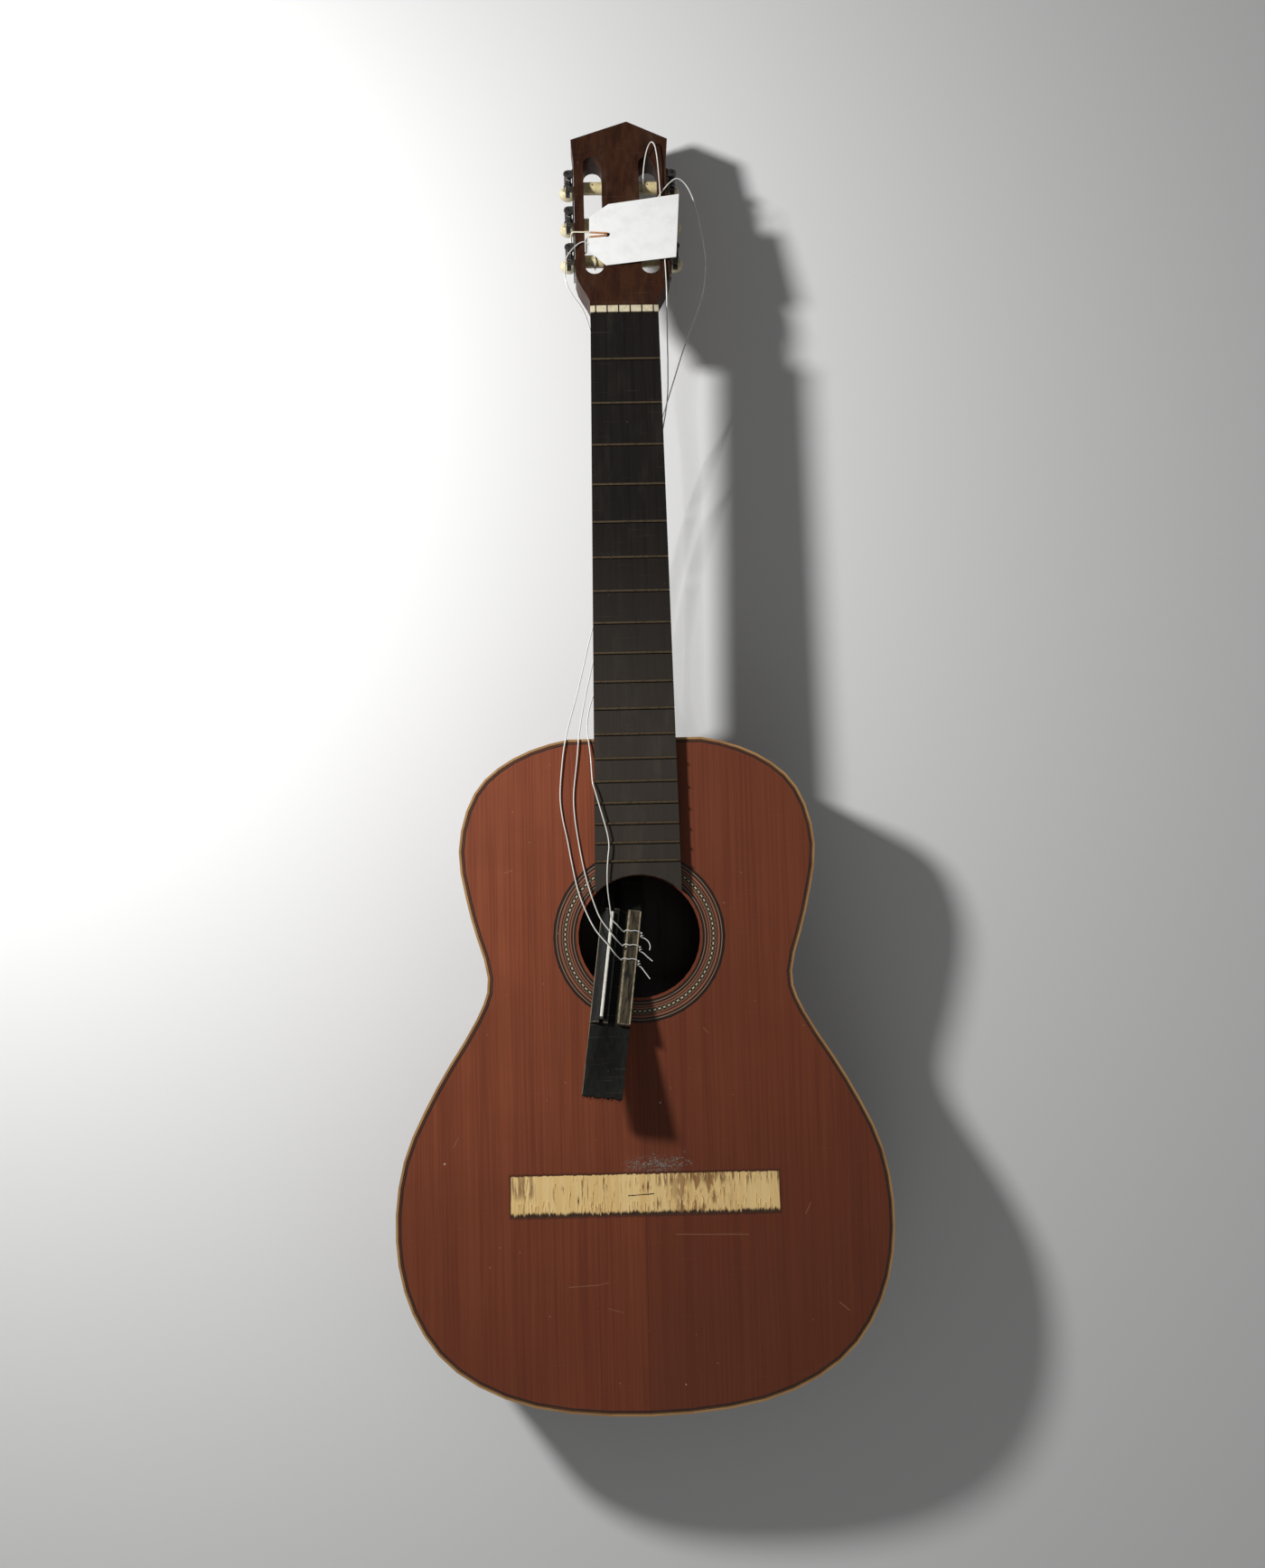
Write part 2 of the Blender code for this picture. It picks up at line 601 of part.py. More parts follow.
def make_bridge():
    frame = bridge_frame()
    slot = SADDLE_THICK / 2 + GAP
    front = BRIDGE_WIDTH / 2
    profile = ((TIE_BACK, 0), (TIE_BACK, BLOCK_HEIGHT - 0.0008), (TIE_BACK + 0.0008, BLOCK_HEIGHT),
               (TIE_FRONT, BLOCK_HEIGHT), (TIE_FRONT, CHANNEL_FLOOR), (0.0015, CHANNEL_FLOOR),
               (0.0015, BLOCK_HEIGHT - 0.0006), (SADDLE_PLACE - slot, BLOCK_HEIGHT - 0.0004),
               (SADDLE_PLACE - slot, SADDLE_FLOOR), (SADDLE_PLACE + slot, SADDLE_FLOOR),
               (SADDLE_PLACE + slot, BLOCK_HEIGHT - 0.0004), (RAMP_START, BLOCK_HEIGHT - 0.001),
               (front, WING_THICK), (front, 0))
    half = BRIDGE_MIDDLE / 2
    bm = bmesh.new()
    add_rings(bm, [[(x, y, z) for y, z in profile] for x in (-half, half)])
    bridge = finish_mesh("bridge", bm, material("bridge_wood", (0.05, 0.03, 0.022, 1), 0.5))
    bridge.matrix_world = frame

    wings = bmesh.new()
    far = BRIDGE_LENGTH / 2
    near = half - 0.002
    side = front - 0.0002
    whole = ((near, -side), (far - 0.006, -side + 0.001), (far, -side + 0.006), (far, side - 0.006),
             (far - 0.006, side - 0.001), (near, side))
    add_prism(wings, whole, 0.0002, WING_THICK)
    torn = [(-near, side)]
    for k, gone in enumerate(SPLINTERS):
        torn.append((-far + gone, side - 2 * side * k / (len(SPLINTERS) - 1)))
    torn.append((-near, -side))
    add_prism(wings, torn, 0.0002, WING_THICK - 0.0004)
    joined = operand("bridge_wings", wings)
    joined.matrix_world = frame
    combine(bridge, joined, "UNION")

    holes = bmesh.new()
    for k in range(STRING_COUNT):
        x = STRING_SPACING * (k - (STRING_COUNT - 1) / 2)
        ring = []
        for place in (TIE_BACK - 0.002, TIE_FRONT + 0.002):
            ring.append([(x + TIE_HOLE * math.cos(2 * math.pi * i / 8), place,
                          TIE_LEVEL + TIE_HOLE * math.sin(2 * math.pi * i / 8)) for i in range(8)])
        add_rings(holes, ring)
    drill = operand("tie_hole_cutter", holes)
    drill.matrix_world = frame
    combine(bridge, drill, "DIFFERENCE")

    saddle = bmesh.new()
    half = SADDLE_LENGTH / 2
    thick = SADDLE_THICK / 2
    high = BLOCK_HEIGHT + SADDLE_RISE
    section = ((-thick, SADDLE_FLOOR + GAP), (-thick, high - 0.0006), (-thick / 2, high), (thick / 2, high),
               (thick, high - 0.0006), (thick, SADDLE_FLOOR + GAP))
    add_rings(saddle, [[(x, SADDLE_PLACE + y, z) for y, z in section] for x in (-half, half)])
    finish_mesh("saddle", saddle, material("saddle_bone", (0.80, 0.77, 0.66, 1), 0.4)).matrix_world = frame


def add_ball(bm, half_u, half_s, top, bottom):
    """A tuner button: an egg round the Z axis, flat at the shaft's end."""
    rings = []
    for share in (0.0, 0.12, 0.36, 0.64, 0.88, 1.0):
        swell = math.sqrt(max(0.0, 1 - (2 * share - 1) ** 2)) * 0.86 + 0.14
        z = top + (bottom - top) * share
        rings.append([(half_u * swell * math.cos(2 * math.pi * k / 10),
                       half_s * swell * math.sin(2 * math.pi * k / 10), z) for k in range(10)])
    add_rings(bm, rings)


def worm_surface(turn, along):
    """Radius of the worm at an angle and a place along it; a thread faces the gear's middle gap."""
    phase = (along / WORM_PITCH - turn / (2 * math.pi) + 0.75) % 1.0
    off = min(phase, 1 - phase)
    if off <= TOOTH_TIP:
        return WORM_RADIUS
    if off >= THREAD_ROOT:
        return WORM_CORE
    return WORM_RADIUS - (WORM_RADIUS - WORM_CORE) * (off - TOOTH_TIP) / (THREAD_ROOT - TOOTH_TIP)


def make_worm(name, frame, finish):
    """The worm with its shaft, turned about its own Z axis, with the gear's middle at Z = 0."""
    sides = 10
    half = WORM_LENGTH / 2
    rings = []
    front = ROLLER_DEPTH - PLATE_TOP - EAR_THICK - GAP
    back = PLATE_BOTTOM - ROLLER_DEPTH + 0.0010
    ends = [(front + EAR_THICK, SHAFT_RADIUS), (half, SHAFT_RADIUS)]
    rows = WORM_TURNS * 6
    for along, radius in ends:
        rings.append([(radius * math.cos(2 * math.pi * k / sides), radius * math.sin(2 * math.pi * k / sides),
                       along) for k in range(sides)])
    for row in range(rows + 1):
        z = half - 0.00005 - (WORM_LENGTH - 0.0001) * row / rows
        ring = []
        for k in range(sides):
            turn = 2 * math.pi * k / sides
            radius = worm_surface(turn, z)
            ring.append((radius * math.cos(turn), radius * math.sin(turn), z))
        rings.append(ring)
    for along in (-half, -back - KNOB_LENGTH * 0.5):
        rings.append([(SHAFT_RADIUS * math.cos(2 * math.pi * k / sides),
                       SHAFT_RADIUS * math.sin(2 * math.pi * k / sides), along) for k in range(sides)])
    bm = bmesh.new()
    add_rings(bm, rings)
    finish_mesh(name, bm, finish, 40).matrix_world = frame


def make_gear(name, frame, finish):
    """A worm wheel whose teeth lean with the worm's thread, bored for the roller's spindle."""
    bm = bmesh.new()
    tip = GEAR_PITCH_RADIUS + GEAR_ADDENDUM
    root = GEAR_PITCH_RADIUS - GEAR_DEDENDUM
    lean = WORM_PITCH / (2 * math.pi * WORM_PITCH_RADIUS)
    loops = []
    for edge in (-1, 1):
        skew = edge * lean * GEAR_THICK / 2 / GEAR_PITCH_RADIUS
        outer = []
        for k in range(GEAR_TEETH):
            middle = 2 * math.pi * k / GEAR_TEETH + skew
            step = 2 * math.pi / GEAR_TEETH
            flanks = ((-TOOTH_ROOT, root), (-TOOTH_TIP, tip), (TOOTH_TIP, tip), (TOOTH_ROOT, root))
            for share, radius in flanks:
                angle = middle + step * share
                outer.append((edge * GEAR_THICK / 2, radius * math.cos(angle), radius * math.sin(angle)))
        bore = SPINDLE_RADIUS + GAP
        count = len(outer)
        inner = [(edge * GEAR_THICK / 2, bore * math.cos(2 * math.pi * (i - 1.5) / count),
                  bore * math.sin(2 * math.pi * (i - 1.5) / count)) for i in range(0, count, 4)]
        loops.append(([bm.verts.new(p) for p in outer], [bm.verts.new(p) for p in inner]))
    (outer_a, inner_a), (outer_b, inner_b) = loops
    count = len(outer_a)
    for i in range(count):
        j = (i + 1) % count
        bm.faces.new((outer_a[i], outer_a[j], outer_b[j], outer_b[i]))
    holes = len(inner_a)
    for i in range(holes):
        j = (i + 1) % holes
        bm.faces.new((inner_b[i], inner_b[j], inner_a[j], inner_a[i]))
        for outer, inner in ((outer_a, inner_a), (outer_b, inner_b)):
            rim = [outer[(4 * i + k) % count] for k in range(5)]
            bm.faces.new(rim + [inner[j], inner[i]])
    finish_mesh(name, bm, finish).matrix_world = frame


def make_roller(name, frame, finish, sign):
    """The barrel that a string winds on, with its spindle out through the plate and the gear."""
    inner = SLOT_CENTRE - SLOT_WIDTH / 2 - 0.006 + GAP
    shoulder = HEAD_HALF - GAP
    bm = bmesh.new()
    add_turned(bm, ((sign * inner, ROLLER_RADIUS), (sign * shoulder, ROLLER_RADIUS),
                    (sign * shoulder, SPINDLE_RADIUS), (sign * SPINDLE_END, SPINDLE_RADIUS)), 12)
    roller = finish_mesh(name, bm, finish, 40)
    roller.matrix_world = frame
    cut = bmesh.new()
    add_turned(cut, ((-0.01, 0.0010), (0.01, 0.0010)), 6, "Z")
    bmesh.ops.translate(cut, verts=cut.verts, vec=(sign * SLOT_CENTRE, 0, 0))
    drill = operand(name + "_hole", cut)
    drill.matrix_world = frame
    combine(roller, drill, "DIFFERENCE")


def make_plate(name, sign):
    """A tuner plate on the head's side, with the two ears that carry each worm's shaft."""
    bm = bmesh.new()
    low = -PLATE_BOTTOM
    high = -PLATE_TOP
    corner = 0.003
    ring = ((PLATE_FROM + corner, low), (PLATE_TO - corner, low), (PLATE_TO, low + corner),
            (PLATE_TO, high - corner), (PLATE_TO - corner, high), (PLATE_FROM + corner, high),
            (PLATE_FROM, high - corner), (PLATE_FROM, low + corner))
    add_rings(bm, [[(sign * u, s, d) for s, d in ring] for u in (PLATE_IN, PLATE_OUT)])
    plate = finish_mesh(name, bm, material("tuner_plate", STEEL, 0.4, 1.0))
    plate.matrix_world = HEAD_FRAME

    ears = bmesh.new()
    bores = bmesh.new()
    for number, side, s in tuner_places():
        if side != sign:
            continue
        place = s + WORM_OFFSET
        for top in (-PLATE_TOP, -PLATE_BOTTOM + EAR_THICK):
            sunk = PLATE_OUT - 0.0004
            points = [(sign * sunk, place - EAR_HALF), (sign * WORM_AXIS_U, place - EAR_HALF)]
            for k in range(1, 4):
                angle = -math.pi / 2 + math.pi * k / 4
                points.append((sign * (WORM_AXIS_U + EAR_HALF * math.cos(angle)),
                               place + EAR_HALF * math.sin(angle)))
            points += [(sign * WORM_AXIS_U, place + EAR_HALF), (sign * sunk, place + EAR_HALF)]
            add_prism(ears, points, top - EAR_THICK, top)
        r = (SHAFT_RADIUS + GAP) * OCTAGON
        shaft = [(sign * WORM_AXIS_U + r * math.cos(2 * math.pi * k / 8),
                  place + r * math.sin(2 * math.pi * k / 8)) for k in range(8)]
        add_prism(bores, shaft, -PLATE_BOTTOM - 0.002, -PLATE_TOP + 0.002)
        r = (SPINDLE_RADIUS + GAP) * OCTAGON
        ring = [[(u, s + r * math.cos(2 * math.pi * k / 8), -ROLLER_DEPTH + r * math.sin(2 * math.pi * k / 8))
                 for k in range(8)] for u in (sign * (PLATE_IN - 0.002), sign * (PLATE_OUT + 0.002))]
        add_rings(bores, ring)
    joined = operand(name + "_ears", ears)
    joined.matrix_world = HEAD_FRAME
    combine(plate, joined, "UNION")
    drill = operand(name + "_bores", bores)
    drill.matrix_world = HEAD_FRAME
    combine(plate, drill, "DIFFERENCE")


def make_tuners():
    metal = material("tuner_metal", STEEL, 0.35, 1.0)
    barrel = material("roller_plastic", CREAM, 0.4)
    button = material("knob_plastic", (0.80, 0.74, 0.56, 1), 0.3)
    for name, sign in (("tuner_plate_bass", -1), ("tuner_plate_treble", 1)):
        make_plate(name, sign)
    for number, sign, s in tuner_places():
        axle = HEAD_FRAME @ Matrix.Translation((0, s, -ROLLER_DEPTH))
        wheel = HEAD_FRAME @ Matrix.Translation((sign * WORM_AXIS_U, s, -ROLLER_DEPTH))
        mesh_turn = Matrix.Rotation(math.pi / GEAR_TEETH, 4, "X")
        shaft = HEAD_FRAME @ Matrix.Translation((sign * WORM_AXIS_U, s + WORM_OFFSET, -ROLLER_DEPTH))
        make_roller("roller_%d" % number, axle, barrel, sign)
        make_gear("gear_%d" % number, wheel @ mesh_turn, metal)
        make_worm("worm_%d" % number, shaft, metal)
        bm = bmesh.new()
        top = -(PLATE_BOTTOM - ROLLER_DEPTH) - 0.0012
        add_ball(bm, KNOB_WIDE / 2, KNOB_DEEP / 2, top, top - KNOB_LENGTH)
        knob = finish_mesh("knob_%d" % number, bm, button, 50)
        knob.matrix_world = shaft
        bore = bmesh.new()
        reach = top - KNOB_LENGTH * 0.5 - GAP
        radius = (SHAFT_RADIUS + GAP) * OCTAGON
        add_turned(bore, ((top + 0.002, radius), (reach, radius)), 8, "Z")
        drill = operand("knob_bore_%d" % number, bore)
        drill.matrix_world = shaft
        combine(knob, drill, "DIFFERENCE")


TAG_TURN = Matrix.Rotation(math.radians(-2.3), 4, "Y")
TAG_FRAME = HEAD_FRAME @ Matrix.Translation((-0.010, 0.070, 0.00100)) @ TAG_TURN
TAG_SHAPE = ((0.0, 0.0274), (0.0562, 0.0345), (0.0518, -0.0248), (-0.0028, -0.0302),
             (-0.0160, -0.0161), (-0.0153, 0.0156))
TAG_HOLE_PLACE = (-0.0015, -0.0015)


def make_tag():
    bm = bmesh.new()
    add_prism(bm, TAG_SHAPE, 0, TAG_THICK)
    tag = finish_mesh("tag", bm, material("card", (0.85, 0.85, 0.83, 1), 0.7))
    tag.matrix_world = TAG_FRAME
    cut = bmesh.new()
    add_turned(cut, ((-0.003, TAG_HOLE), (0.003, TAG_HOLE)), 10, "Z")
    bmesh.ops.translate(cut, verts=cut.verts, vec=(TAG_HOLE_PLACE[0], TAG_HOLE_PLACE[1], 0))
    punch = operand("tag_punch", cut)
    punch.matrix_world = TAG_FRAME
    combine(tag, punch, "DIFFERENCE")


def wrap(number, u, first, last):
    """Points of a string's turn on a roller, by angle about it, from the nut's side."""
    reach = ROLLER_RADIUS + 2 * GAP + STRING_DIAMETER / 2
    place = TUNER_FIRST + TUNER_STEP * ((number - 1) % 3)
    points = []
    for degrees in range(first, last, -36):
        angle = math.radians(degrees)
        points.append(HEAD_FRAME @ Vector((u, place + reach * math.cos(angle),
                                           reach * math.sin(angle) - ROLLER_DEPTH)))
    return points


def on_head(*points):
    return [HEAD_FRAME @ Vector(point) for point in points]


# The three strings left: a turn on the roller, over the head, under the neck, over the bass shoulder
# and across the top to the tie block. The first points are in the head's frame, the rest in the part's.
STRING_A = (wrap(5, 0.0205, 250, 70)
            + on_head((0.0222, 0.0925, -0.0030), (0.0255, 0.0975, -0.0004), (0.0288, 0.1025, 0.0009),
                      (0.0334, 0.1098, 0.0009), (0.0395, 0.1170, 0.0020), (0.0459, 0.1203, 0.0026))
            + [Vector(p) for p in (
                (0.0530, 0.7675, 0.0645), (0.0590, 0.7560, 0.0600), (0.0637, 0.7384, 0.0550),
                (0.0672, 0.7190, 0.0510), (0.0676, 0.7041, 0.0480), (0.0651, 0.6866, 0.0455),
                (0.0590, 0.6690, 0.0435), (0.0488, 0.6432, 0.0415), (0.0400, 0.6170, 0.0405),
                (0.0315, 0.5914, 0.0400), (0.0205, 0.5600, 0.0390), (0.0070, 0.5200, 0.0380),
                (-0.0075, 0.4750, 0.0400), (-0.0205, 0.4420, 0.0450), (-0.0303, 0.4130, 0.0515),
                (-0.0370, 0.3850, 0.0620), (-0.0428, 0.3600, 0.0740), (-0.0480, 0.3400, 0.0860),
                (-0.0508, 0.3285, 0.0935), (-0.0523, 0.3215, 0.0962), (-0.0545, 0.3080, 0.0962),
                (-0.0569, 0.2815, 0.0960), (-0.0556, 0.2640, 0.0960), (-0.0522, 0.2468, 0.0960),
                (-0.0492, 0.2290, 0.0962), (-0.0451, 0.2090, 0.0966), (-0.0395, 0.1930, 0.0980),
                (-0.0325, 0.1790, 0.1003), (-0.0229, 0.1672, 0.1010), (-0.0189, 0.1616, 0.0998),
                (-0.0158, 0.1581, 0.0970), (-0.0137, 0.1563, 0.0956))])
STRING_B = (wrap(6, 0.0185, 250, 90)
            + on_head((0.0186, 0.1250, -0.0032), (0.0190, 0.1306, 0.0000), (0.0205, 0.1410, 0.0021),
                      (0.0228, 0.1500, 0.0034), (0.0258, 0.1550, 0.0042), (0.0284, 0.1520, 0.0042),
                      (0.0297, 0.1440, 0.0038), (0.0305, 0.1330, 0.0034), (0.0310, 0.1200, 0.0028),
                      (0.0313, 0.1100, 0.0029), (0.0314, 0.1068, 0.0024), (0.0315, 0.1040, 0.0018),
                      (0.0316, 0.1010, 0.0012), (0.0318, 0.0950, 0.0010), (0.0319, 0.0900, 0.0010),
                      (0.0323, 0.0720, 0.0010), (0.0328, 0.0560, 0.0010), (0.0331, 0.0430, 0.0010),
                      (0.0333, 0.0320, 0.0010), (0.0334, 0.0240, 0.0010), (0.0334, 0.0160, 0.0000))
            + [Vector(p) for p in (
                (0.0335, 0.6580, 0.0865), (0.0337, 0.6400, 0.0770), (0.0341, 0.6200, 0.0670),
                (0.0333, 0.5950, 0.0570), (0.0275, 0.5650, 0.0500), (0.0160, 0.5250, 0.0460),
                (0.0010, 0.4800, 0.0460), (-0.0150, 0.4350, 0.0510), (-0.0240, 0.4080, 0.0570),
                (-0.0305, 0.3840, 0.0640), (-0.0355, 0.3620, 0.0740), (-0.0392, 0.3430, 0.0845),
                (-0.0412, 0.3300, 0.0930), (-0.0423, 0.3215, 0.0962), (-0.0438, 0.3060, 0.0962),
                (-0.0467, 0.2813, 0.0960), (-0.0463, 0.2640, 0.0960), (-0.0441, 0.2466, 0.0960),
                (-0.0410, 0.2280, 0.0962), (-0.0374, 0.2126, 0.0968), (-0.0330, 0.1980, 0.0980),
                (-0.0285, 0.1870, 0.0983), (-0.0216, 0.1772, 0.0976), (-0.0175, 0.1719, 0.0962),
                (-0.0144, 0.1684, 0.0934), (-0.0124, 0.1666, 0.0920))])
STRING_C = (wrap(1, -0.0215, 250, 70)
            + on_head((-0.0235, 0.0580, -0.0034), (-0.0265, 0.0612, -0.0006), (-0.0298, 0.0622, 0.0011),
                      (-0.0335, 0.0608, 0.0012), (-0.0368, 0.0576, 0.0014), (-0.0410, 0.0520, 0.0020),
                      (-0.0443, 0.0452, 0.0016), (-0.0455, 0.0360, -0.0014), (-0.0440, 0.0270, -0.0045),
                      (-0.0395, 0.0190, -0.0080), (-0.0340, 0.0135, -0.0125), (-0.0300, 0.0080, -0.0180))
            + [Vector(p) for p in (
                (-0.0262, 0.6480, 0.0690), (-0.0190, 0.6200, 0.0610), (-0.0100, 0.5800, 0.0555),
                (-0.0050, 0.5300, 0.0520), (-0.0050, 0.4800, 0.0515), (-0.0090, 0.4300, 0.0540),
                (-0.0165, 0.3950, 0.0595), (-0.0260, 0.3700, 0.0680), (-0.0330, 0.3500, 0.0795),
                (-0.0355, 0.3350, 0.0900), (-0.0354, 0.3270, 0.0949), (-0.0346, 0.3200, 0.0967),
                (-0.0334, 0.3080, 0.0978), (-0.0329, 0.2965, 0.1010), (-0.0323, 0.2885, 0.1040),
                (-0.0305, 0.2820, 0.1049), (-0.0270, 0.2690, 0.1049), (-0.0225, 0.2520, 0.1048),
                (-0.0212, 0.2417, 0.1047), (-0.0221, 0.2330, 0.1046), (-0.0229, 0.2230, 0.1042),
                (-0.0231, 0.2140, 0.1036), (-0.0226, 0.2060, 0.1008), (-0.0215, 0.1965, 0.0968),
                (-0.0203, 0.1872, 0.0943),
                (-0.0161, 0.1822, 0.0927), (-0.0131, 0.1787, 0.0899), (-0.0110, 0.1769, 0.0884))])
# The tag's tie: out of its hole, round the bass cheek of the head and back, in the head's frame
TAG_LOOP = on_head((-0.0112, 0.0692, 0.0026), (-0.0180, 0.0698, 0.0023), (-0.0262, 0.0706, 0.0020),
                   (-0.0315, 0.0712, 0.0013), (-0.0362, 0.0716, 0.0010), (-0.0380, 0.0717, 0.0008),
                   (-0.0393, 0.0717, -0.0008), (-0.0397, 0.0717, -0.0045), (-0.0397, 0.0715, -0.0120),
                   (-0.0396, 0.0712, -0.0185),
                   (-0.0380, 0.0706, -0.0210), (-0.0340, 0.0698, -0.0213), (-0.0292, 0.0689, -0.0212),
                   (-0.0282, 0.0686, -0.0206), (-0.0280, 0.0684, -0.0190), (-0.0279, 0.0676, -0.0120),
                   (-0.0279, 0.0668, -0.0040),
                   (-0.0276, 0.0664, 0.0004), (-0.0262, 0.0664, 0.0019), (-0.0180, 0.0668, 0.0023),
                   (-0.0118, 0.0673, 0.0026))


def thin(points, slack):
    """Drop each point that a straight run past it would miss by less than the slack."""
    along = (points[-1] - points[0]).normalized()
    off = [(p - points[0] - along * (p - points[0]).dot(along)).length for p in points]
    far = off.index(max(off))
    if off[far] <= slack:
        return [points[0], points[-1]]
    return thin(points[:far + 1], slack)[:-1] + thin(points[far:], slack)


def make_cord(name, route, diameter, finish):
    """A tube along the smooth curve through the route's points."""
    ends = [2 * route[0] - route[1]] + route + [2 * route[-1] - route[-2]]
    points = thin(catmull(ends, CORD_STEPS) + [route[-1]], CORD_SLACK)
    curve = bpy.data.curves.new(name, "CURVE")
    curve.dimensions = "3D"
    curve.bevel_depth = diameter / 2
    curve.bevel_resolution = 2
    curve.use_fill_caps = True
    spline = curve.splines.new("POLY")
    spline.points.add(len(points) - 1)
    for slot, point in zip(spline.points, points):
        slot.co = (point.x, point.y, point.z, 1)
    curve.materials.append(finish)
    cord = bpy.data.objects.new(name, curve)
    bpy.context.scene.collection.objects.link(cord)


def make_cords():
    nylon = material("nylon", (0.80, 0.78, 0.72, 1), 0.25)
    for name, route in (("string_a", STRING_A), ("string_b", STRING_B), ("string_c", STRING_C)):
        make_cord(name, route, STRING_DIAMETER, nylon)
    make_cord("tag_string", TAG_LOOP, TAG_STRING_DIAMETER, material("twine", (0.75, 0.6, 0.42, 1), 0.8))


def main():
    clear_scene()
    make_soundboard()
    make_rosette()
    make_back()
    make_side("side_bass", -1)
    make_side("side_treble", 1)
    make_binding()
    make_neck()
    make_fingerboard()
    make_frets()
    make_nut()
    make_bridge()
    make_tuners()
    make_tag()
    make_cords()


main()
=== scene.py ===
# %% [markdown]
# # A broken classical guitar
# A full size classical guitar lies on its back. Its bridge has torn off the top and hangs by three
# loose strings in the sound hole, and a strip of bare wood shows where it was glued. The solids come
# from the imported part. This lesson gives them their finishes and adds the small pieces that they lack.

# %% Load the solids
import bpy
import bmesh
import json
import math
import random
from mathutils import Matrix, Vector


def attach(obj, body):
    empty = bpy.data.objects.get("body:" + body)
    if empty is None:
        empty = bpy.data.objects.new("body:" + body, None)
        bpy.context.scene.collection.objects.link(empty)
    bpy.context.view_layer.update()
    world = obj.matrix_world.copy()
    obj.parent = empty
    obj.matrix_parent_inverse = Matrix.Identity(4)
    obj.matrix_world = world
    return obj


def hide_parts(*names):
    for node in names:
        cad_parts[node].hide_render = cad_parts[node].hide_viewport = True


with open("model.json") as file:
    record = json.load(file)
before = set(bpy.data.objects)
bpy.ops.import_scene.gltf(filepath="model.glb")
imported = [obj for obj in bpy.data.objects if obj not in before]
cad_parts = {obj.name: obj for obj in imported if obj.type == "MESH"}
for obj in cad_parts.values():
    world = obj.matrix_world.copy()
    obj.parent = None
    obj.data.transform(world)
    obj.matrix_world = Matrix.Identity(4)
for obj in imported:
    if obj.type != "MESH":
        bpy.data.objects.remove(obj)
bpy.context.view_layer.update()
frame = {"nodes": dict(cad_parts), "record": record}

# %% [markdown]
# ## Camera
# The photograph looks almost square at the top of the guitar, from about 1.15 metres above the sound
# hole. The guitar lies flat here, so the camera looks down on it. A camera could be placed by eye, but
# the frets, the hole and the outline fix its place, its turn and its lens, so it stands by the numbers
# that were fitted to them.

# %% Camera
EYE_PLACE = (-0.03108, 0.19968, 1.24653)
EYE_TURN = ((0.99945, 0.02218, -0.02483), (-0.02402, 0.9968, -0.0763), (0.02306, 0.07686, 0.99678))
SENSOR_WIDTH = 36
LENS = 43.67
eye = bpy.data.cameras.new("eye")
eye.sensor_fit = "HORIZONTAL"
eye.sensor_width = SENSOR_WIDTH
eye.lens = LENS
camera = bpy.data.objects.new("camera", eye)
bpy.context.scene.collection.objects.link(camera)
camera.matrix_world = Matrix.Translation(EYE_PLACE) @ Matrix(EYE_TURN).to_4x4()
bpy.context.scene.camera = camera
print("camera", [round(v, 3) for v in camera.location])

# %% [markdown]
# ## The loose strings
# Each string still sits on its roller at one end and is tied to the bridge at the other, so its length
# is set: it runs off the head, under the neck, over the shoulder and across the top. A curve is the
# right tool, because its line is the string's own middle and its bevel gives the round section.

# %% Places on the head
HEAD_ROOT = (0, 0.6553, 0.0945)
HEAD_ANGLE = math.radians(14.4)
HEAD = Matrix.Translation(HEAD_ROOT) @ Matrix.Rotation(-HEAD_ANGLE, 4, "X")
GAP = 0.0003
DEPTH = 0.095
ROLLER_RADIUS = 0.005
ROLLER_DEPTH = 0.0095
TUNER_FIRST = 0.0515
TUNER_STEP = 0.035
TUNERS_A_SIDE = 3
WRAP_STEP = 36
STRING_DIAMETER = 0.0010
TIE_DIAMETER = 0.0012


def wrap(number, u, first, last):
    """Points of a string's turn on a roller, by angle about it, from the nut's side."""
    reach = ROLLER_RADIUS + 2 * GAP + STRING_DIAMETER / 2
    place = TUNER_FIRST + TUNER_STEP * ((number - 1) % TUNERS_A_SIDE)
    points = []
    for degrees in range(first, last, -WRAP_STEP):
        angle = math.radians(degrees)
        ahead = reach * math.cos(angle)
        up = reach * math.sin(angle)
        points.append(HEAD @ Vector((u, place + ahead, up - ROLLER_DEPTH)))
    return points


def on_head(*points):
    """Points given in the head's own frame."""
    return [HEAD @ Vector(point) for point in points]


print("head root at", [round(v, 4) for v in HEAD.translation])

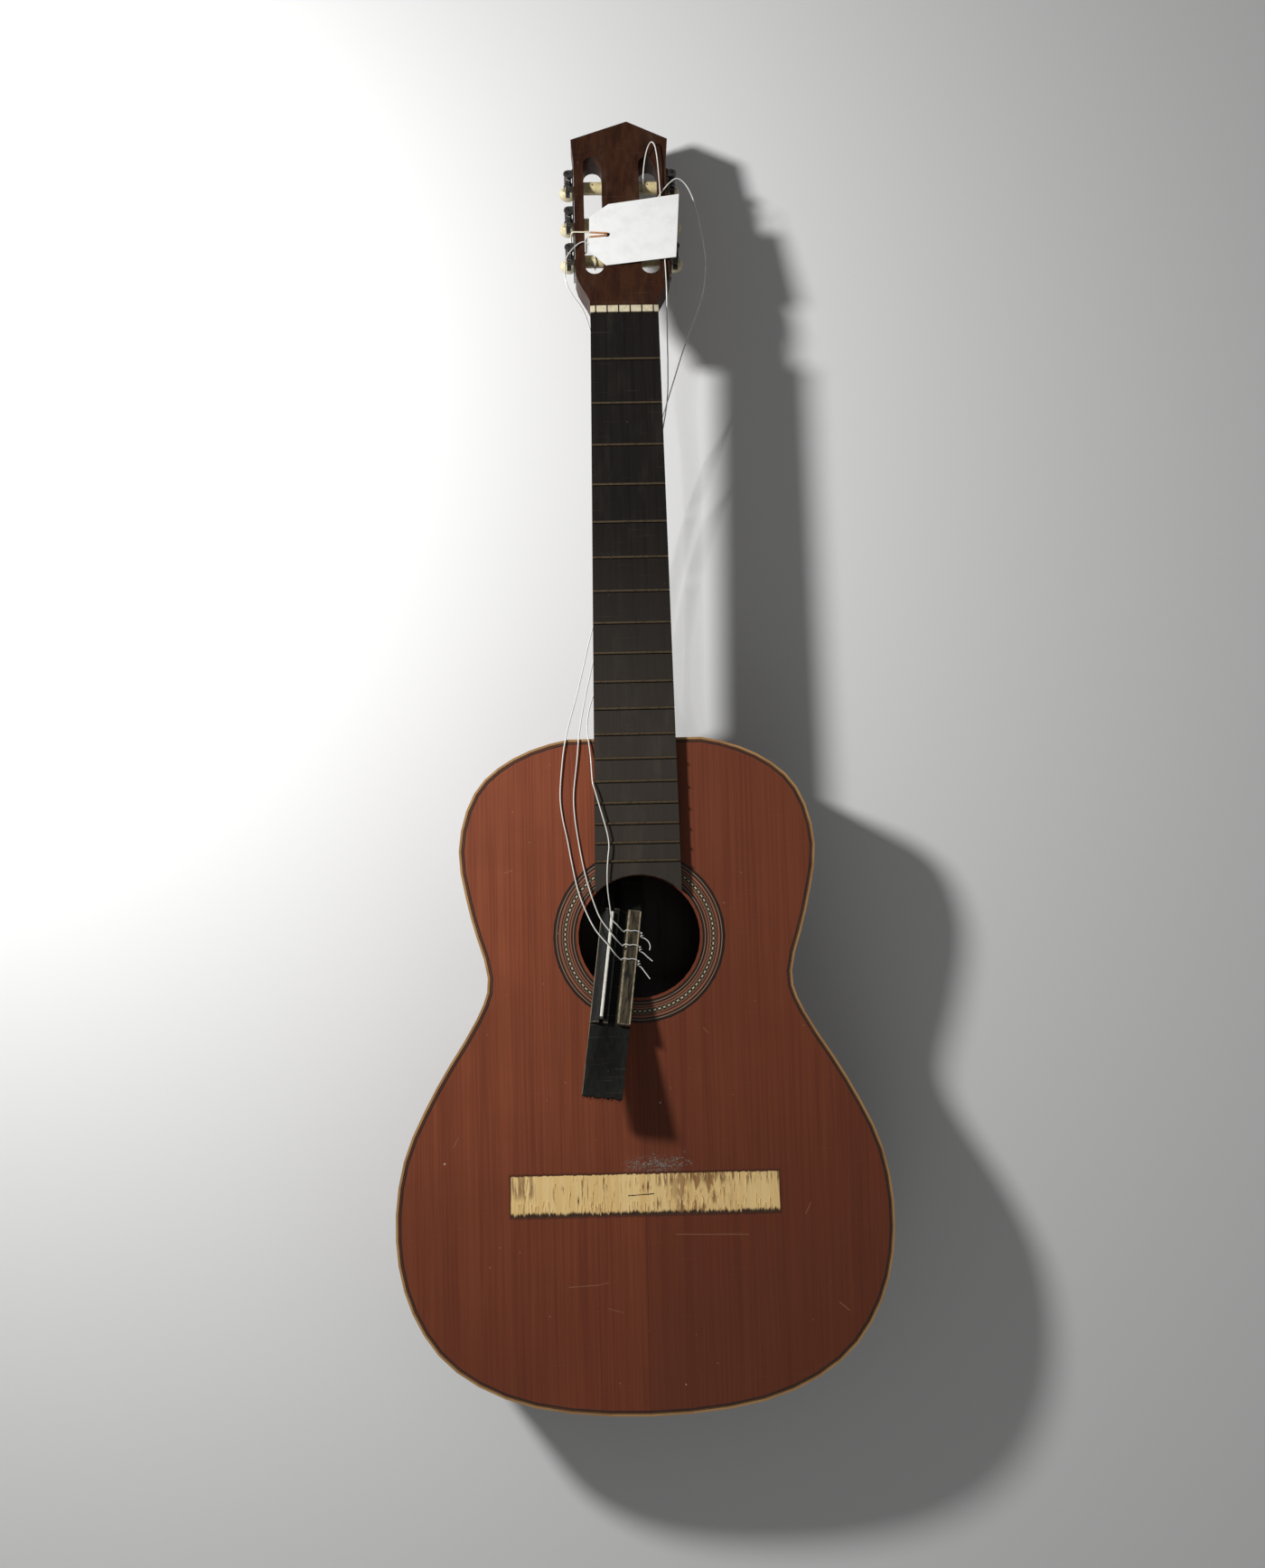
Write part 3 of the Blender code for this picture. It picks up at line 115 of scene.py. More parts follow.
# %% Routes of the strings and of the tag's tie
STRING_A = (wrap(5, 0.0205, 250, 70)
            + on_head((0.0222, 0.0925, -0.0030), (0.0255, 0.0975, -0.0004), (0.0288, 0.1025, 0.0009),
                      (0.0334, 0.1098, 0.0009), (0.0395, 0.1170, 0.0020), (0.0459, 0.1203, 0.0026))
            + [Vector(p) for p in (
                (0.0530, 0.7675, 0.0645), (0.0590, 0.7560, 0.0600), (0.0637, 0.7384, 0.0550),
                (0.0672, 0.7190, 0.0510), (0.0676, 0.7041, 0.0480), (0.0651, 0.6866, 0.0455),
                (0.0590, 0.6690, 0.0435), (0.0488, 0.6432, 0.0415), (0.0400, 0.6170, 0.0405),
                (0.0315, 0.5914, 0.0400), (0.0205, 0.5600, 0.0390), (0.0070, 0.5200, 0.0380),
                (-0.0075, 0.4750, 0.0400), (-0.0205, 0.4420, 0.0450), (-0.0303, 0.4130, 0.0515),
                (-0.0370, 0.3850, 0.0620), (-0.0428, 0.3600, 0.0740), (-0.0480, 0.3400, 0.0860),
                (-0.0508, 0.3285, 0.0935), (-0.0523, 0.3215, 0.0962), (-0.0545, 0.3080, 0.0962),
                (-0.0569, 0.2815, 0.0960), (-0.0556, 0.2640, 0.0960), (-0.0522, 0.2468, 0.0960),
                (-0.0492, 0.2290, 0.0962), (-0.0451, 0.2090, 0.0966), (-0.0395, 0.1930, 0.0980),
                (-0.0325, 0.1790, 0.1003), (-0.0229, 0.1672, 0.1010), (-0.0189, 0.1616, 0.0998),
                (-0.0158, 0.1581, 0.0970), (-0.0137, 0.1563, 0.0956))])

STRING_B = (wrap(6, 0.0185, 250, 90)
            + on_head((0.0186, 0.1250, -0.0032), (0.0190, 0.1306, 0.0000), (0.0205, 0.1410, 0.0021),
                      (0.0228, 0.1500, 0.0034), (0.0258, 0.1550, 0.0042), (0.0284, 0.1520, 0.0042),
                      (0.0297, 0.1440, 0.0038), (0.0305, 0.1330, 0.0034), (0.0310, 0.1200, 0.0028),
                      (0.0313, 0.1100, 0.0029), (0.0314, 0.1068, 0.0024), (0.0315, 0.1040, 0.0018),
                      (0.0316, 0.1010, 0.0012), (0.0318, 0.0950, 0.0010), (0.0319, 0.0900, 0.0010),
                      (0.0323, 0.0720, 0.0010), (0.0328, 0.0560, 0.0010), (0.0331, 0.0430, 0.0010),
                      (0.0333, 0.0320, 0.0010), (0.0334, 0.0240, 0.0010), (0.0334, 0.0160, 0.0000))
            + [Vector(p) for p in (
                (0.0335, 0.6580, 0.0865), (0.0337, 0.6400, 0.0770), (0.0341, 0.6200, 0.0670),
                (0.0333, 0.5950, 0.0570), (0.0275, 0.5650, 0.0500), (0.0160, 0.5250, 0.0460),
                (0.0010, 0.4800, 0.0460), (-0.0150, 0.4350, 0.0510), (-0.0240, 0.4080, 0.0570),
                (-0.0305, 0.3840, 0.0640), (-0.0355, 0.3620, 0.0740), (-0.0392, 0.3430, 0.0845),
                (-0.0412, 0.3300, 0.0930), (-0.0423, 0.3215, 0.0962), (-0.0438, 0.3060, 0.0962),
                (-0.0467, 0.2813, 0.0960), (-0.0463, 0.2640, 0.0960), (-0.0441, 0.2466, 0.0960),
                (-0.0410, 0.2280, 0.0962), (-0.0374, 0.2126, 0.0968), (-0.0330, 0.1980, 0.0980),
                (-0.0285, 0.1870, 0.0983), (-0.0216, 0.1772, 0.0976), (-0.0175, 0.1719, 0.0962),
                (-0.0144, 0.1684, 0.0934), (-0.0124, 0.1666, 0.0920))])

STRING_C = (wrap(1, -0.0215, 250, 70)
            + on_head((-0.0235, 0.0580, -0.0034), (-0.0265, 0.0612, -0.0006), (-0.0298, 0.0622, 0.0011),
                      (-0.0335, 0.0608, 0.0012), (-0.0368, 0.0576, 0.0014), (-0.0410, 0.0520, 0.0020),
                      (-0.0443, 0.0452, 0.0016), (-0.0455, 0.0360, -0.0014), (-0.0440, 0.0270, -0.0045),
                      (-0.0395, 0.0190, -0.0080), (-0.0340, 0.0135, -0.0125), (-0.0300, 0.0080, -0.0180))
            + [Vector(p) for p in (
                (-0.0262, 0.6480, 0.0690), (-0.0190, 0.6200, 0.0610), (-0.0100, 0.5800, 0.0555),
                (-0.0050, 0.5300, 0.0520), (-0.0050, 0.4800, 0.0515), (-0.0090, 0.4300, 0.0540),
                (-0.0165, 0.3950, 0.0595), (-0.0260, 0.3700, 0.0680), (-0.0330, 0.3500, 0.0795),
                (-0.0355, 0.3350, 0.0900), (-0.0354, 0.3270, 0.0949), (-0.0346, 0.3200, 0.0967),
                (-0.0334, 0.3080, 0.0978), (-0.0329, 0.2965, 0.1010), (-0.0323, 0.2885, 0.1040),
                (-0.0305, 0.2820, 0.1049), (-0.0270, 0.2690, 0.1049), (-0.0225, 0.2520, 0.1048),
                (-0.0212, 0.2417, 0.1047), (-0.0221, 0.2330, 0.1046), (-0.0229, 0.2230, 0.1042),
                (-0.0231, 0.2140, 0.1036), (-0.0226, 0.2060, 0.1008), (-0.0215, 0.1965, 0.0968),
                (-0.0203, 0.1872, 0.0943),
                (-0.0161, 0.1822, 0.0927), (-0.0131, 0.1787, 0.0899), (-0.0110, 0.1769, 0.0884))])

TAG_LOOP = on_head((-0.0112, 0.0692, 0.0026), (-0.0180, 0.0698, 0.0023), (-0.0262, 0.0706, 0.0020),
                   (-0.0315, 0.0712, 0.0013), (-0.0362, 0.0716, 0.0010), (-0.0380, 0.0717, 0.0008),
                   (-0.0393, 0.0717, -0.0008), (-0.0397, 0.0717, -0.0045), (-0.0397, 0.0715, -0.0120),
                   (-0.0396, 0.0712, -0.0185),
                   (-0.0380, 0.0706, -0.0210), (-0.0340, 0.0698, -0.0213), (-0.0292, 0.0689, -0.0212),
                   (-0.0282, 0.0686, -0.0206), (-0.0280, 0.0684, -0.0190), (-0.0279, 0.0676, -0.0120),
                   (-0.0279, 0.0668, -0.0040),
                   (-0.0276, 0.0664, 0.0004), (-0.0262, 0.0664, 0.0019), (-0.0180, 0.0668, 0.0023),
                   (-0.0118, 0.0673, 0.0026))
print("route points", len(STRING_A), len(STRING_B), len(STRING_C), len(TAG_LOOP))


# %% [markdown]
# ## One smooth line through each route
# A route is a short list of places that a string passes. Straight runs between them would look like
# bent wire, so a smooth curve runs through every place and is read at a few steps between each two.

# %% A smooth line through a route
CORD_STEPS = 5


def curve_through(points, steps):
    """Points on a smooth curve through the given ones, the last one left out."""
    spread = []
    for i in range(1, len(points) - 2):
        a, b, c, d = (Vector(p) for p in points[i - 1:i + 3])
        for k in range(steps):
            t = k / steps
            curve = 2 * b + (c - a) * t + (2 * a - 5 * b + 4 * c - d) * t * t
            spread.append((curve + (3 * b - a - 3 * c + d) * t ** 3) / 2)
    return spread


def smooth_line(route, steps):
    """The whole curve through a route, with both of its ends."""
    ends = [2 * route[0] - route[1]] + list(route) + [2 * route[-1] - route[-2]]
    return curve_through(ends, steps) + [route[-1]]


def line_length(points):
    return sum((b - a).length for a, b in zip(points, points[1:]))


for route in (STRING_A, STRING_B, STRING_C):
    print("string length", round(line_length(smooth_line(route, CORD_STEPS)), 3))

# %% [markdown]
# ## Lay the cords
# A cord could be a swept mesh. A curve with a round bevel gives the same section and keeps its middle
# line.

# %% Lay the cords
POINT_RADIUS = 0.001
CORD_ROUNDNESS = 3


def round_cord(name, line, diameter, roundness):
    """A round cord along a line, one open spline. The box of a curve grows by its points' radius, so
    the radius is kept small and the bevel's depth makes up for it."""
    curve = bpy.data.curves.new(name, "CURVE")
    curve.dimensions = "3D"
    curve.bevel_depth = diameter / 2 / POINT_RADIUS
    curve.bevel_resolution = roundness
    curve.use_fill_caps = True
    spline = curve.splines.new("POLY")
    spline.points.add(len(line) - 1)
    for spot, point in zip(spline.points, line):
        spot.co = (point.x, point.y, point.z, 1)
        spot.radius = POINT_RADIUS
    cord = bpy.data.objects.new(name, curve)
    bpy.context.scene.collection.objects.link(cord)
    return cord


def lay_cord(name, route, diameter):
    line = smooth_line(route, CORD_STEPS)
    return round_cord(name, line, diameter, CORD_ROUNDNESS), line_length(line)


cords = {}
for name, route in (("string_a", STRING_A), ("string_b", STRING_B), ("string_c", STRING_C)):
    cord, length = lay_cord(name + "_nylon", route, STRING_DIAMETER)
    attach(cord, "guitar")
    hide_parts(name)
    cords[name] = cord
    print(name, round(length, 3), "m")
tie, length = lay_cord("tag_tie", TAG_LOOP, TIE_DIAMETER)
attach(tie, "guitar")
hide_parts("tag_string")
print("tag tie", round(length, 3), "m")

# %% [markdown]
# ## Floor
# The background is plain and pale. So the guitar lies on a pale matt floor, one large flat face that
# is wide enough for every view of it.

# %% Floor
FLOOR_HALF = 4.0
FLOOR_MIDDLE = (0, 0.3, -0.0004)
FLOOR_TONE = (0.86, 0.86, 0.855, 1)
ground = bmesh.new()
bmesh.ops.create_grid(ground, x_segments=1, y_segments=1, size=FLOOR_HALF)
bmesh.ops.translate(ground, verts=ground.verts, vec=FLOOR_MIDDLE)
ground_mesh = bpy.data.meshes.new("floor")
ground.to_mesh(ground_mesh)
ground.free()
floor = bpy.data.objects.new("floor", ground_mesh)
bpy.context.scene.collection.objects.link(floor)
pale = bpy.data.materials.new("pale_floor")
pale.use_nodes = True
matt = pale.node_tree.nodes["Principled BSDF"]
matt.inputs["Base Color"].default_value = FLOOR_TONE
matt.inputs["Roughness"].default_value = 0.9
ground_mesh.materials.append(pale)
print("floor laid")

# %% [markdown]
# ## Lamps
# The photograph's shadows are deep, have hard edges and fall to the right. A sun would throw such
# shadows too, but a small near lamp at the upper left also makes its own side brighter, as the
# photograph shows. Two large weak lamps open up the shadows a little.

# %% Lamps
LAMPS_FACE = (0, 0.3, 0.05)


def hang_lamp(name, place, size, power):
    """A round lamp that faces the middle of the guitar."""
    data = bpy.data.lights.new(name, "AREA")
    data.shape = "DISK"
    data.size = size
    data.energy = power
    lamp = bpy.data.objects.new(name, data)
    bpy.context.scene.collection.objects.link(lamp)
    lamp.location = place
    lamp.rotation_euler = (Vector(LAMPS_FACE) - Vector(place)).to_track_quat("-Z", "Y").to_euler()


hang_lamp("key", (-0.80, 0.75, 0.75), 0.14, 14.5)
hang_lamp("fill", (1.3, -0.2, 1.5), 1.4, 1.0)
hang_lamp("low", (-0.2, -1.2, 1.2), 1.2, 1.2)
print("lamps hung")

# %% [markdown]
# ## Sky
# A faint even light stands for what a room throws back. The camera itself sees a brighter one, so the
# far background stays pale, and that one lights nothing.

# %% Sky
SKY_LIGHT = 0.11
SKY_SEEN = 0.85
sky = bpy.data.worlds.new("sky")
sky.use_nodes = True
sky_nodes = sky.node_tree.nodes
sky_links = sky.node_tree.links
lighting = sky_nodes["Background"]
lighting.inputs["Color"].default_value = (1, 1, 1, 1)
lighting.inputs["Strength"].default_value = SKY_LIGHT
seen = sky_nodes.new("ShaderNodeBackground")
seen.inputs["Strength"].default_value = SKY_SEEN
path = sky_nodes.new("ShaderNodeLightPath")
either = sky_nodes.new("ShaderNodeMixShader")
sky_links.new(path.outputs["Is Camera Ray"], either.inputs[0])
sky_links.new(lighting.outputs[0], either.inputs[1])
sky_links.new(seen.outputs[0], either.inputs[2])
sky_links.new(either.outputs[0], sky_nodes["World Output"].inputs["Surface"])
bpy.context.scene.world = sky
bpy.context.scene.view_settings.view_transform = "Standard"
print("sky", SKY_LIGHT, "seen as", SKY_SEEN)

# %% [markdown]
# ## Small helpers for finishes
# Every finish is a Principled BSDF fed by a few nodes that read the object's own coordinates. The
# helpers below only save typing: one adds a node, one joins two sockets, and one lays a colour over
# another through a mask.

# %% Node helpers
def new_finish(name, roughness, metallic=0.0):
    finish = bpy.data.materials.new(name)
    finish.use_nodes = True
    tree = finish.node_tree
    shader = tree.nodes["Principled BSDF"]
    shader.inputs["Roughness"].default_value = roughness
    shader.inputs["Metallic"].default_value = metallic
    return finish, tree, shader


def add(tree, kind, **settings):
    made = tree.nodes.new("ShaderNode" + kind)
    for key, value in settings.items():
        setattr(made, key, value)
    return made


def join(tree, source, target):
    """Feed a socket, or a plain value, into an input."""
    if isinstance(source, bpy.types.NodeSocket):
        tree.links.new(source, target)
    else:
        target.default_value = source


def maths(tree, operation, a, b=0.0, c=0.0, clamp=False):
    made = add(tree, "Math", operation=operation, use_clamp=clamp)
    for source, target in zip((a, b, c), made.inputs):
        join(tree, source, target)
    return made.outputs[0]


def lay_over(tree, mask, below, above):
    made = add(tree, "Mix", data_type="RGBA")
    join(tree, mask, made.inputs[0])
    join(tree, below, made.inputs[6])
    join(tree, above, made.inputs[7])
    return made.outputs[2]


def ramp(tree, source, low, high):
    """0 below one value, 1 above another."""
    made = add(tree, "MapRange", interpolation_type="SMOOTHSTEP")
    join(tree, source, made.inputs["Value"])
    made.inputs["From Min"].default_value = low
    made.inputs["From Max"].default_value = high
    return made.outputs["Result"]


def noise(tree, vector, scale, detail=4.0, roughness=0.55):
    made = add(tree, "TexNoise")
    join(tree, vector, made.inputs["Vector"])
    made.inputs["Scale"].default_value = scale
    made.inputs["Detail"].default_value = detail
    made.inputs["Roughness"].default_value = roughness
    return made.outputs["Fac"]


def stretched(tree, vector, scale):
    made = add(tree, "Mapping")
    join(tree, vector, made.inputs["Vector"])
    made.inputs["Scale"].default_value = scale
    return made.outputs["Vector"]


def bump(tree, height, strength, distance):
    made = add(tree, "Bump")
    made.inputs["Strength"].default_value = strength
    made.inputs["Distance"].default_value = distance
    join(tree, height, made.inputs["Height"])
    return made.outputs["Normal"]


print("helpers ready")

# %% [markdown]
# ## Effects that several finishes share
# Wood grain, dust specks and scratches turn up on most pieces of an old guitar. Each is a node group
# that is built once, with named inputs, and placed in every finish that needs it. The first is grain:
# noise that is pulled out along the wood gives fine lines and broad bands without any picture.

# %% Group: long grain
def make_group(name, inputs, outputs):
    group = bpy.data.node_groups.new(name, "ShaderNodeTree")
    for label, kind, value in inputs:
        socket = group.interface.new_socket(name=label, in_out="INPUT", socket_type="NodeSocket" + kind)
        if value is not None:
            socket.default_value = value
    for label, kind in outputs:
        group.interface.new_socket(name=label, in_out="OUTPUT", socket_type="NodeSocket" + kind)
    return group, group.nodes.new("NodeGroupInput").outputs, group.nodes.new("NodeGroupOutput").inputs


grain_group, given, result = make_group(
    "long_grain",
    (("Vector", "Vector", None), ("Across", "Float", 700.0), ("Along", "Float", 9.0),
     ("Light", "Color", (0.3, 0.1, 0.04, 1)), ("Dark", "Color", (0.15, 0.05, 0.02, 1))),
    (("Color", "Color"), ("Lines", "Float")))
squeeze = add(grain_group, "CombineXYZ")
join(grain_group, given["Across"], squeeze.inputs[0])
join(grain_group, given["Along"], squeeze.inputs[1])
join(grain_group, given["Across"], squeeze.inputs[2])
pulled = add(grain_group, "VectorMath", operation="MULTIPLY")
join(grain_group, given["Vector"], pulled.inputs[0])
join(grain_group, squeeze.outputs[0], pulled.inputs[1])
fine = noise(grain_group, pulled.outputs[0], 1.0, 3.0, 0.6)
broad = noise(grain_group, pulled.outputs[0], 0.13, 4.0, 0.6)
lines = ramp(grain_group, fine, 0.38, 0.66)
bands = ramp(grain_group, broad, 0.36, 0.64)
streaks = maths(grain_group, "MULTIPLY_ADD", lines, 0.55, maths(grain_group, "MULTIPLY", bands, 0.45))
join(grain_group, lay_over(grain_group, streaks, given["Light"], given["Dark"]), result["Color"])
join(grain_group, streaks, result["Lines"])
print("long_grain", len(grain_group.nodes), "nodes")

# %% [markdown]
# ## Specks
# Dust and small chips are round spots of many sizes, scattered without order. The cells of a random
# mosaic give one spot each, a share of them is kept, and a little shaking keeps them from being round.

# %% Group: specks of dust, dings and chips
speck_group, given, result = make_group(
    "specks", (("Vector", "Vector", None), ("Scale", "Float", 60.0), ("Size", "Float", 0.08),
               ("Share", "Float", 0.3)), (("Mask", "Float"),))
cells = add(speck_group, "TexVoronoi")
wobble = add(speck_group, "TexNoise")
join(speck_group, given["Vector"], wobble.inputs["Vector"])
wobble.inputs["Scale"].default_value = 420.0
shake = add(speck_group, "VectorMath", operation="MULTIPLY_ADD")
join(speck_group, wobble.outputs["Color"], shake.inputs[0])
shake.inputs[1].default_value = (0.0022, 0.0022, 0.0022)
join(speck_group, given["Vector"], shake.inputs[2])
join(speck_group, shake.outputs[0], cells.inputs["Vector"])
join(speck_group, given["Scale"], cells.inputs["Scale"])
pick = add(speck_group, "SeparateColor")
join(speck_group, cells.outputs["Color"], pick.inputs[0])
chosen = maths(speck_group, "LESS_THAN", pick.outputs[0], given["Share"])
reach = maths(speck_group, "MULTIPLY", given["Size"], maths(speck_group, "ADD", pick.outputs[1], 0.3))
inside = maths(speck_group, "LESS_THAN", cells.outputs["Distance"], reach)
join(speck_group, maths(speck_group, "MULTIPLY", chosen, inside), result["Mask"])
print("specks", len(speck_group.nodes), "nodes")

# %% [markdown]
# ## Scuffs
# Years of handling leave hairlines that run in every direction. Noise pulled out a long way and cut
# near its peaks gives such lines, and three turns of it are enough to hide that they repeat.

# %% Group: fine scuffs that run any way
scuff_group, given, result = make_group(
    "scuffs", (("Vector", "Vector", None), ("Amount", "Float", 0.5)), (("Mask", "Float"),))
marks = None
for turned, stretch in ((0.35, (30, 900, 60)), (-0.9, (22, 700, 60)), (1.35, (26, 800, 60))):
    spun = add(scuff_group, "Mapping")
    join(scuff_group, given["Vector"], spun.inputs["Vector"])
    spun.inputs["Rotation"].default_value = (0, 0, turned)
    spun.inputs["Scale"].default_value = stretch
    hair = noise(scuff_group, spun.outputs["Vector"], 1.0, 2.0, 0.4)
    thin_mark = ramp(scuff_group, hair, 0.70, 0.76)
    marks = thin_mark if marks is None else maths(scuff_group, "MAXIMUM", marks, thin_mark)
join(scuff_group, maths(scuff_group, "MULTIPLY", marks, given["Amount"]), result["Mask"])
print("scuffs", len(scuff_group.nodes), "nodes")

# %% [markdown]
# ## Single scratches
# A scratch that the photograph shows has its own place, so noise can't make it. The distance to a
# line between two points gives one, and its width wanders a little along the way.

# %% Group: one scratch from a start to an end
scratch_group, given, result = make_group(
    "one_scratch", (("Vector", "Vector", None), ("Start", "Vector", None), ("End", "Vector", None),
                    ("Width", "Float", 0.0004)), (("Mask", "Float"),))


def vectors(tree, operation, a, b, out=0):
    made = add(tree, "VectorMath", operation=operation)
    join(tree, a, made.inputs[0])
    if b is not None:
        join(tree, b, made.inputs[3 if operation == "SCALE" else 1])
    return made.outputs[out]


leg = vectors(scratch_group, "SUBTRACT", given["End"], given["Start"])
here = vectors(scratch_group, "SUBTRACT", given["Vector"], given["Start"])
share = maths(scratch_group, "DIVIDE", vectors(scratch_group, "DOT_PRODUCT", here, leg, 1),
              vectors(scratch_group, "DOT_PRODUCT", leg, leg, 1), clamp=True)
foot = vectors(scratch_group, "SCALE", leg, share)
away = vectors(scratch_group, "LENGTH", vectors(scratch_group, "SUBTRACT", here, foot), None, 1)
wander = maths(scratch_group, "MULTIPLY", noise(scratch_group, given["Vector"], 900.0, 2.0), given["Width"])
narrow = maths(scratch_group, "LESS_THAN", away, wander)
join(scratch_group, narrow, result["Mask"])
print("one_scratch", len(scratch_group.nodes), "nodes")

# %% [markdown]
# ## Placing a group
# A finish takes a group as one node with its own values. Every finish reads the coordinates of the
# piece that wears it, so a pattern stays where it is on the piece when that piece turns.

# %% Place a group in a finish
def use_group(tree, group, **values):
    made = tree.nodes.new("ShaderNodeGroup")
    made.node_tree = group
    for label, value in values.items():
        join(tree, value, made.inputs[label])
    return made.outputs


def own_place(tree):
    return add(tree, "TexCoord").outputs["Object"]


print("groups ready")

# %% [markdown]
# ## The top
# The top is reddish brown softwood, a plate in two halves. Its grain is fine and runs the length of
# the body. Clouds of darker varnish and a darker treble half lie over it, a painted shade darkens the
# lower end, and then come the joint of the halves, scuffs, chips and dust. A picture could give all
# of this, but layers of noise stay sharp at any distance.

# %% Finish: top wood
top_wood, tree, shader = new_finish("top_wood", 0.5)
place = own_place(tree)
axis = add(tree, "SeparateXYZ")
join(tree, place, axis.inputs[0])
x, y = axis.outputs[0], axis.outputs[1]
grain = use_group(tree, grain_group, Vector=place, Across=560.0, Along=7.0,
                  Light=(0.290, 0.078, 0.033, 1), Dark=(0.185, 0.044, 0.020, 1))
colour = grain["Color"]
cloud = ramp(tree, noise(tree, place, 11.0, 5.0, 0.6), 0.35, 0.7)
colour = lay_over(tree, maths(tree, "MULTIPLY", cloud, 0.30), colour, (0.150, 0.040, 0.017, 1))
treble_half = ramp(tree, x, -0.0012, 0.0004)
colour = lay_over(tree, maths(tree, "MULTIPLY", treble_half, 0.40), colour, (0.105, 0.028, 0.014, 1))
# Painted shade: the lower end of the top is darkened in colour, as if less light reached it.
painted_lower_shade = ramp(tree, y, 0.18, -0.12)
colour = lay_over(tree, maths(tree, "MULTIPLY", painted_lower_shade, 0.40), colour, (0.110, 0.026, 0.012, 1))
seam_line = maths(tree, "LESS_THAN", maths(tree, "ABSOLUTE", x), 0.00022)
colour = lay_over(tree, maths(tree, "MULTIPLY", seam_line, 0.5), colour, (0.05, 0.018, 0.01, 1))
scuffed = use_group(tree, scuff_group, Vector=place, Amount=0.16)["Mask"]
colour = lay_over(tree, maths(tree, "MULTIPLY", scuffed, 0.4), colour, (0.30, 0.13, 0.075, 1))
chips = use_group(tree, speck_group, Vector=place, Scale=75.0, Size=0.055, Share=0.10)["Mask"]
colour = lay_over(tree, maths(tree, "MULTIPLY", chips, 0.75), colour, (0.55, 0.36, 0.25, 1))
dust = use_group(tree, speck_group, Vector=place, Scale=140.0, Size=0.07, Share=0.16)["Mask"]
colour = lay_over(tree, maths(tree, "MULTIPLY", dust, 0.5), colour, (0.36, 0.24, 0.18, 1))
print("top wood, varnish and dirt", len(tree.nodes), "nodes")

# %% [markdown]
# ## Marks, glue and the bare strip
# These have fixed places, measured on the top in metres. The strip is cut into the finish with two
# distances from its middle, roughened by noise, so its edges look torn and not ruled. It could be a
# separate sheet, but the wood under it is the same plate.

# %% Marks seen on the top
marks = None
for start, end, width in (
        ((-0.058, -0.0815), (-0.036, -0.0805), 0.0007),
        ((-0.036, -0.0805), (-0.029, -0.0790), 0.0006),
        ((0.022, -0.0455), (0.075, -0.0470), 0.0007),
        ((-0.030, -0.0975), (-0.018, -0.1010), 0.0006),
        ((-0.141, 0.0220), (-0.137, 0.0290), 0.0006),
        ((0.118, -0.0330), (0.122, -0.0250), 0.0007),
        ((-0.100, 0.2230), (-0.094, 0.2250), 0.0007),
        ((0.046, 0.1050), (0.049, 0.1010), 0.0006),
        ((0.141, -0.0980), (0.148, -0.1040), 0.0010)):
    one = use_group(tree, scratch_group, Vector=place, Start=(*start, DEPTH), End=(*end, DEPTH),
                    Width=width)["Mask"]
    marks = one if marks is None else maths(tree, "MAXIMUM", marks, one)
colour = lay_over(tree, maths(tree, "MULTIPLY", marks, 0.42), colour, (0.36, 0.17, 0.09, 1))
print("marks placed")

# %% The smear of old glue above the strip
smear = maths(tree, "MULTIPLY", ramp(tree, noise(tree, place, 420.0, 4.0, 0.7), 0.44, 0.60),
              maths(tree, "MULTIPLY", ramp(tree, y, 0.0150, 0.0050), ramp(tree, y, -0.0010, 0.0010)))
reach = maths(tree, "ADD", maths(tree, "ABSOLUTE", maths(tree, "SUBTRACT", x, 0.010)),
              maths(tree, "MULTIPLY", noise(tree, place, 90.0, 3.0), 0.03))
smear = maths(tree, "MULTIPLY", smear, ramp(tree, reach, 0.044, 0.024))
colour = lay_over(tree, maths(tree, "MULTIPLY", smear, 0.75), colour, (0.20, 0.15, 0.12, 1))
print("glue smear placed")

# %% The bare strip where the bridge was glued
STRIP_HALF_LENGTH = 0.0993
STRIP_HALF_WIDTH = 0.0150
STRIP_BACK = 0.0159
STRIP_SLANT = 0.0045
EDGE_BLUR = 0.0002
ragged = noise(tree, stretched(tree, place, (650, 90, 90)), 1.0, 4.0, 0.65)
nibble = maths(tree, "MULTIPLY_ADD", ragged, 0.0030, -0.0015)
to_side = maths(tree, "ADD", maths(tree, "ABSOLUTE", maths(tree, "ADD", x, 0.0002)),
                maths(tree, "MULTIPLY", nibble, 0.5))
tilted = maths(tree, "MULTIPLY_ADD", x, STRIP_SLANT, maths(tree, "ADD", y, STRIP_BACK))
to_edge = maths(tree, "ADD", maths(tree, "ABSOLUTE", tilted), nibble)
strip = maths(tree, "MULTIPLY",
              ramp(tree, to_side, STRIP_HALF_LENGTH + EDGE_BLUR, STRIP_HALF_LENGTH - EDGE_BLUR),
              ramp(tree, to_edge, STRIP_HALF_WIDTH + EDGE_BLUR, STRIP_HALF_WIDTH - EDGE_BLUR))
print("strip is", 2 * STRIP_HALF_LENGTH, "by", 2 * STRIP_HALF_WIDTH)

# %% [markdown]
# ## The bare wood
# Wood that never saw the varnish is pale. The bridge took fibres with it, which left dark streaks
# along the grain, and glue stayed as brown blots and a dark lower edge. Each is a mask over the one
# before, because they lie on each other in that order. A dark rim of old varnish frames the strip.

